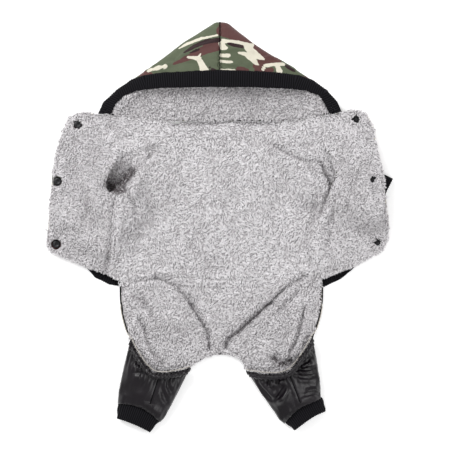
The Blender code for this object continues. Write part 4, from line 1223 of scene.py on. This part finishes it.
# %% Shape the legs
for side, leg in LEGS.items():
    node = f"leg_shell_{side}"
    shell = one_skin(f"nylon_leg_{side}", 1.7 * MM, 3, node)
    shape, away = points_of(shell), normals_of(shell)
    along, across, inward = leg_place(leg, shape)
    past_mouth = distance_to(shape, f"leg_casing_{side}") / MM
    phase = 2.4 * ripple(shape, 15 * MM, 71)
    lift = 2.5 * np.exp(-past_mouth / 7) * np.sin(across / 1.0 + phase)
    lift += 0.4 * np.exp(-np.maximum(84 - along, 0) / 6) * np.sin(across / 1.2 + phase)
    lift += leg.relief * ripple(shape * np.array([1.0, 1.5, 1.0]), 30 * MM, 72) + 0.9 * ripple(shape, 13 * MM, 73)
    for fold in leg.folds:
        lift += fold_lift(shape, fold, leg.relief, 2.4)
    lift -= 0.8 * np.exp(-((path_distance(shape, leg.seam) / 1.6) ** 2))
    top = smooth((away[:, 2] - 0.1) / 0.6)
    shape += away * (lift * top * MM)[:, None]
    into_cuff = np.array((-inward[1] * leg.sign, inward[0] * leg.sign))
    shape[:, :2] += smooth((along - 72) / 9)[:, None] * into_cuff * 4.5 * MM
    shape = bowed(leg, shape, lambda along: smooth((along - 60) / 22))
    shape[:, 2] = np.maximum(shape[:, 2], 0)
    move_points(shell, shape)
    cuff = bpy.data.objects[f"leg_rib_cuff_{side}"]
    move_points(cuff, bowed(leg, points_of(cuff), lambda along: 1 - 0.6 * smooth((along - 88) / 22), 0.1))
    dress(shell, nylon_dye, "black_nylon", node)

# %% [markdown]
# ## Seam threads
#
# A seam in black cloth reads as a fine dark line. A thin thread laid into the valley gives
# it: rays from above find how high the cloth is along the seam, and a curve with a small
# round bevel follows it.

# %% Lay a thread along a seam


def lay_thread(name, piece, path, radius, sunk, dye, slot):
    tree = tree_of(piece)
    places = []
    for start, end in zip(path, path[1:]):
        for share in np.linspace(0, 1, 14, endpoint=False):
            x, y = (np.array(start) * (1 - share) + np.array(end) * share) * MM
            hit = tree.ray_cast(Vector((x, y, 0.2)), Vector((0, 0, -1)))
            if hit[0]:
                places.append((x, y, hit[0].z - sunk))
    return round_line(name, places, radius, dye, slot)


def round_line(name, places, radius, dye, slot):
    curve = bpy.data.curves.new(name, "CURVE")
    curve.dimensions = "3D"
    curve.bevel_depth = radius
    curve.bevel_resolution = 2
    line = curve.splines.new("POLY")
    line.points.add(len(places) - 1)
    for point, place in zip(line.points, places):
        point.co = (*place, 1)
    thread = bpy.data.objects.new(name, curve)
    bpy.context.scene.collection.objects.link(thread)
    return dress(thread, dye, slot)


for side, leg in LEGS.items():
    leg_piece = bpy.data.objects[f"nylon_leg_{side}"]
    lay_thread(f"seam_leg_{side}", leg_piece, leg.seam, 0.75 * MM, 0.0, thread_dye, "black_nylon")

# %% The piping
for side, places in seat_edges.items():
    round_line(f"seat_piping_{side}", places, 1.0 * MM, thread_dye, "black_nylon")

# %% [markdown]
# ## The hood's seam
#
# Down the middle the two halves of the hood part a little, and the dark seam allowance
# shows between them. A cord of the same thread fills that gap just under the cloth: thick
# near the peak, where the gap is widest, and fine below it.

# %% Seam allowance of the hood
hood_tree = tree_of(bpy.data.objects["hood_right"])
for name, first, last, radius in (("seam_peak", 287.5, 258, 1.1), ("seam_hood", 257, 218, 0.6)):
    places = []
    for y in np.linspace(first, last, 28) * MM:
        hit = hood_tree.ray_cast(Vector((2.5 * MM, y, 0.2)), Vector((0, 0, -1)))
        if hit[0]:
            places.append((-0.2 * MM, y, max(hit[0].z - (radius + 0.3) * MM, 1.2 * MM)))
    round_line(name, places, radius * MM, thread_dye, "black_nylon")

# %% [markdown]
# ## Casings and piping
#
# At each leg mouth an elastic runs in a narrow casing of the same nylon, which it bunches
# up, and a pale tape is sewn over the raw edge. The casing's ends tuck in beside the leg.

# %% Casings and piping
for side, leg in LEGS.items():
    node = f"leg_casing_{side}"
    casing = softened(f"nylon_casing_{side}", 2, node)
    shape = points_of(casing)
    along, across, inward = leg_place(leg, shape)
    reach = leg.width / 2 - 3
    tucked = np.sign(across) * (reach + (np.abs(across) - reach) * 0.25)
    shift = np.where(np.abs(across) > reach, tucked - across, 0)
    shape[:, :2] += shift[:, None] * inward * MM
    bunch = 1.1 * np.sin(across / 0.8 + 2.5 * ripple(shape, 12 * MM, 80)) + 0.6 * ripple(shape, 4 * MM, 82)
    shape += normals_of(casing) * ((0.5 + bunch) * MM)[:, None]
    move_points(casing, shape)
    dress(casing, nylon_dye, "black_nylon", node)
    node = f"leg_binding_{side}"
    tape = softened(f"tape_{side}", 1, node)
    shape = points_of(tape)
    shape -= normals_of(tape) * 0.25 * MM
    shape[:, 0] -= leg.sign * 2.2 * MM * smooth((shape[:, 1] / MM + 112) / 10)
    move_points(tape, shape)
    dress(tape, tape_dye, "pale_binding", node)

# %% [markdown]
# ## The shell underneath
#
# From below and at the edges we see the printed shell of the jacket, the nylon seat and the
# camouflage sleeves. They rest on the table, so their relief is slight. The flap shells
# follow the raised hems of the lining.

# %% Undersides
SHELLS = (
    ("shell_back", "jacket_back_shell", body_print, "camouflage"),
    ("shell_flap_left", "flap_shell_left", body_print, "camouflage"),
    ("shell_flap_right", "flap_shell_right", body_print, "camouflage"),
    ("sleeve_left", "sleeve_shell_left", body_print, "camouflage"),
    ("sleeve_right", "sleeve_shell_right", body_print, "camouflage"),
    ("nylon_seat", "seat_shell", nylon_dye, "black_nylon"),
)
for name, node, dye, slot in SHELLS:
    shell = softened(name, 1, node, crease=0.95)
    shape = points_of(shell)
    shape += normals_of(shell) * (0.35 * MM * ripple(shape, 18 * MM, 91))[:, None]
    if "flap" in name or "back" in name:
        shape = pull_hems(shape)
        shape[:, 1] = np.where(np.abs(shape[:, 0]) < 0.12, np.minimum(shape[:, 1], NECK - 3 * MM), shape[:, 1])
    shape[:, 2] = np.maximum(shape[:, 2], 0)
    move_points(shell, shape)
    if slot == "camouflage":
        store_strokes(shell, free=1)
    dress(shell, dye, slot, node)

# %% [markdown]
# ## Which pieces are flat cloth
#
# The shells of the back, the flaps and the seat are single sheets that were cut flat and
# now lie on the table. For each one the spread of its points is worked out.

for name in ("shell_back", "shell_flap_left", "shell_flap_right", "nylon_seat"):
    shell = bpy.data.objects[name]
    spread = np.ptp(points_of(shell), axis=0)

# %% Snaps
for node in snap_places:
    snap = softened(node.replace("snap", "press_snap"), 1, node, crease=0.8)
    dress(snap, snap_dye, "snap", node)

# %% [markdown]
# ## Table, light and camera
#
# The garment was shot from straight above on a white table in even light, with only a
# faint shadow at its edges. A white world gives the even light, and soft lamps give the
# pile a side to be bright on and the nylon something to reflect. The camera is far away
# with a long lens, so that the parts that stand up don't lean outwards.

# %% Table
table_dye = Dye("white_table", roughness=0.8)
grain = table_dye.noise(3, detail=2)
table_dye.colour(table_dye.ramp(grain, [(0.3, (0.92,) * 3), (0.7, (0.94,) * 3)]))
table_dye.shader.inputs["Emission Color"].default_value = (1, 1, 1, 1)
table_dye.shader.inputs["Emission Strength"].default_value = 0.32
bpy.ops.mesh.primitive_plane_add(size=6, location=(0, 0, -0.0004))
table = bpy.context.object
table.name = "table"
table.data.materials.append(table_dye.material)
table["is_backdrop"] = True

# %% Light
world = bpy.data.worlds.new("studio")
world.use_nodes = True
world.node_tree.nodes["Background"].inputs["Color"].default_value = (1.0, 1.0, 1.0, 1)
world.node_tree.nodes["Background"].inputs["Strength"].default_value = 0.55
bpy.context.scene.world = world


def soft_lamp(name, place, size, power):
    lamp = bpy.data.lights.new(name, "AREA")
    lamp.size = size
    lamp.energy = power
    holder = bpy.data.objects.new(name, lamp)
    holder.location = place
    holder.rotation_euler = (-Vector(place)).to_track_quat("-Z", "Y").to_euler()
    bpy.context.scene.collection.objects.link(holder)


soft_lamp("window", (-1.0, 1.1, 1.5), 1.1, 34)
soft_lamp("fill", (1.4, -0.6, 1.8), 1.4, 20)
bpy.context.scene.view_settings.view_transform = "Standard"

# %% Camera
PHOTO_PIXELS = 450
PIXEL = 1.4 * MM
camera = bpy.data.cameras.new("overhead")
camera.sensor_width = 36
camera.lens = camera.sensor_width * CAMERA_HEIGHT / (PHOTO_PIXELS * PIXEL)
camera.clip_end = 20
holder = bpy.data.objects.new("overhead", camera)
holder.location = (6.9 * MM, 3.4 * MM, CAMERA_HEIGHT)
bpy.context.scene.collection.objects.link(holder)
bpy.context.scene.camera = holder
print("camera lens", round(camera.lens, 1), "mm")

# %% Sizes, and the end
meshes = [piece.data for piece in bpy.data.objects if piece.type == "MESH" and not piece.hide_render]
print("triangles", sum(len(corner.vertices) - 2 for mesh in meshes for corner in mesh.polygons))
bpy.context.view_layer.update()
low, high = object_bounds()
print("visual box", low, high)
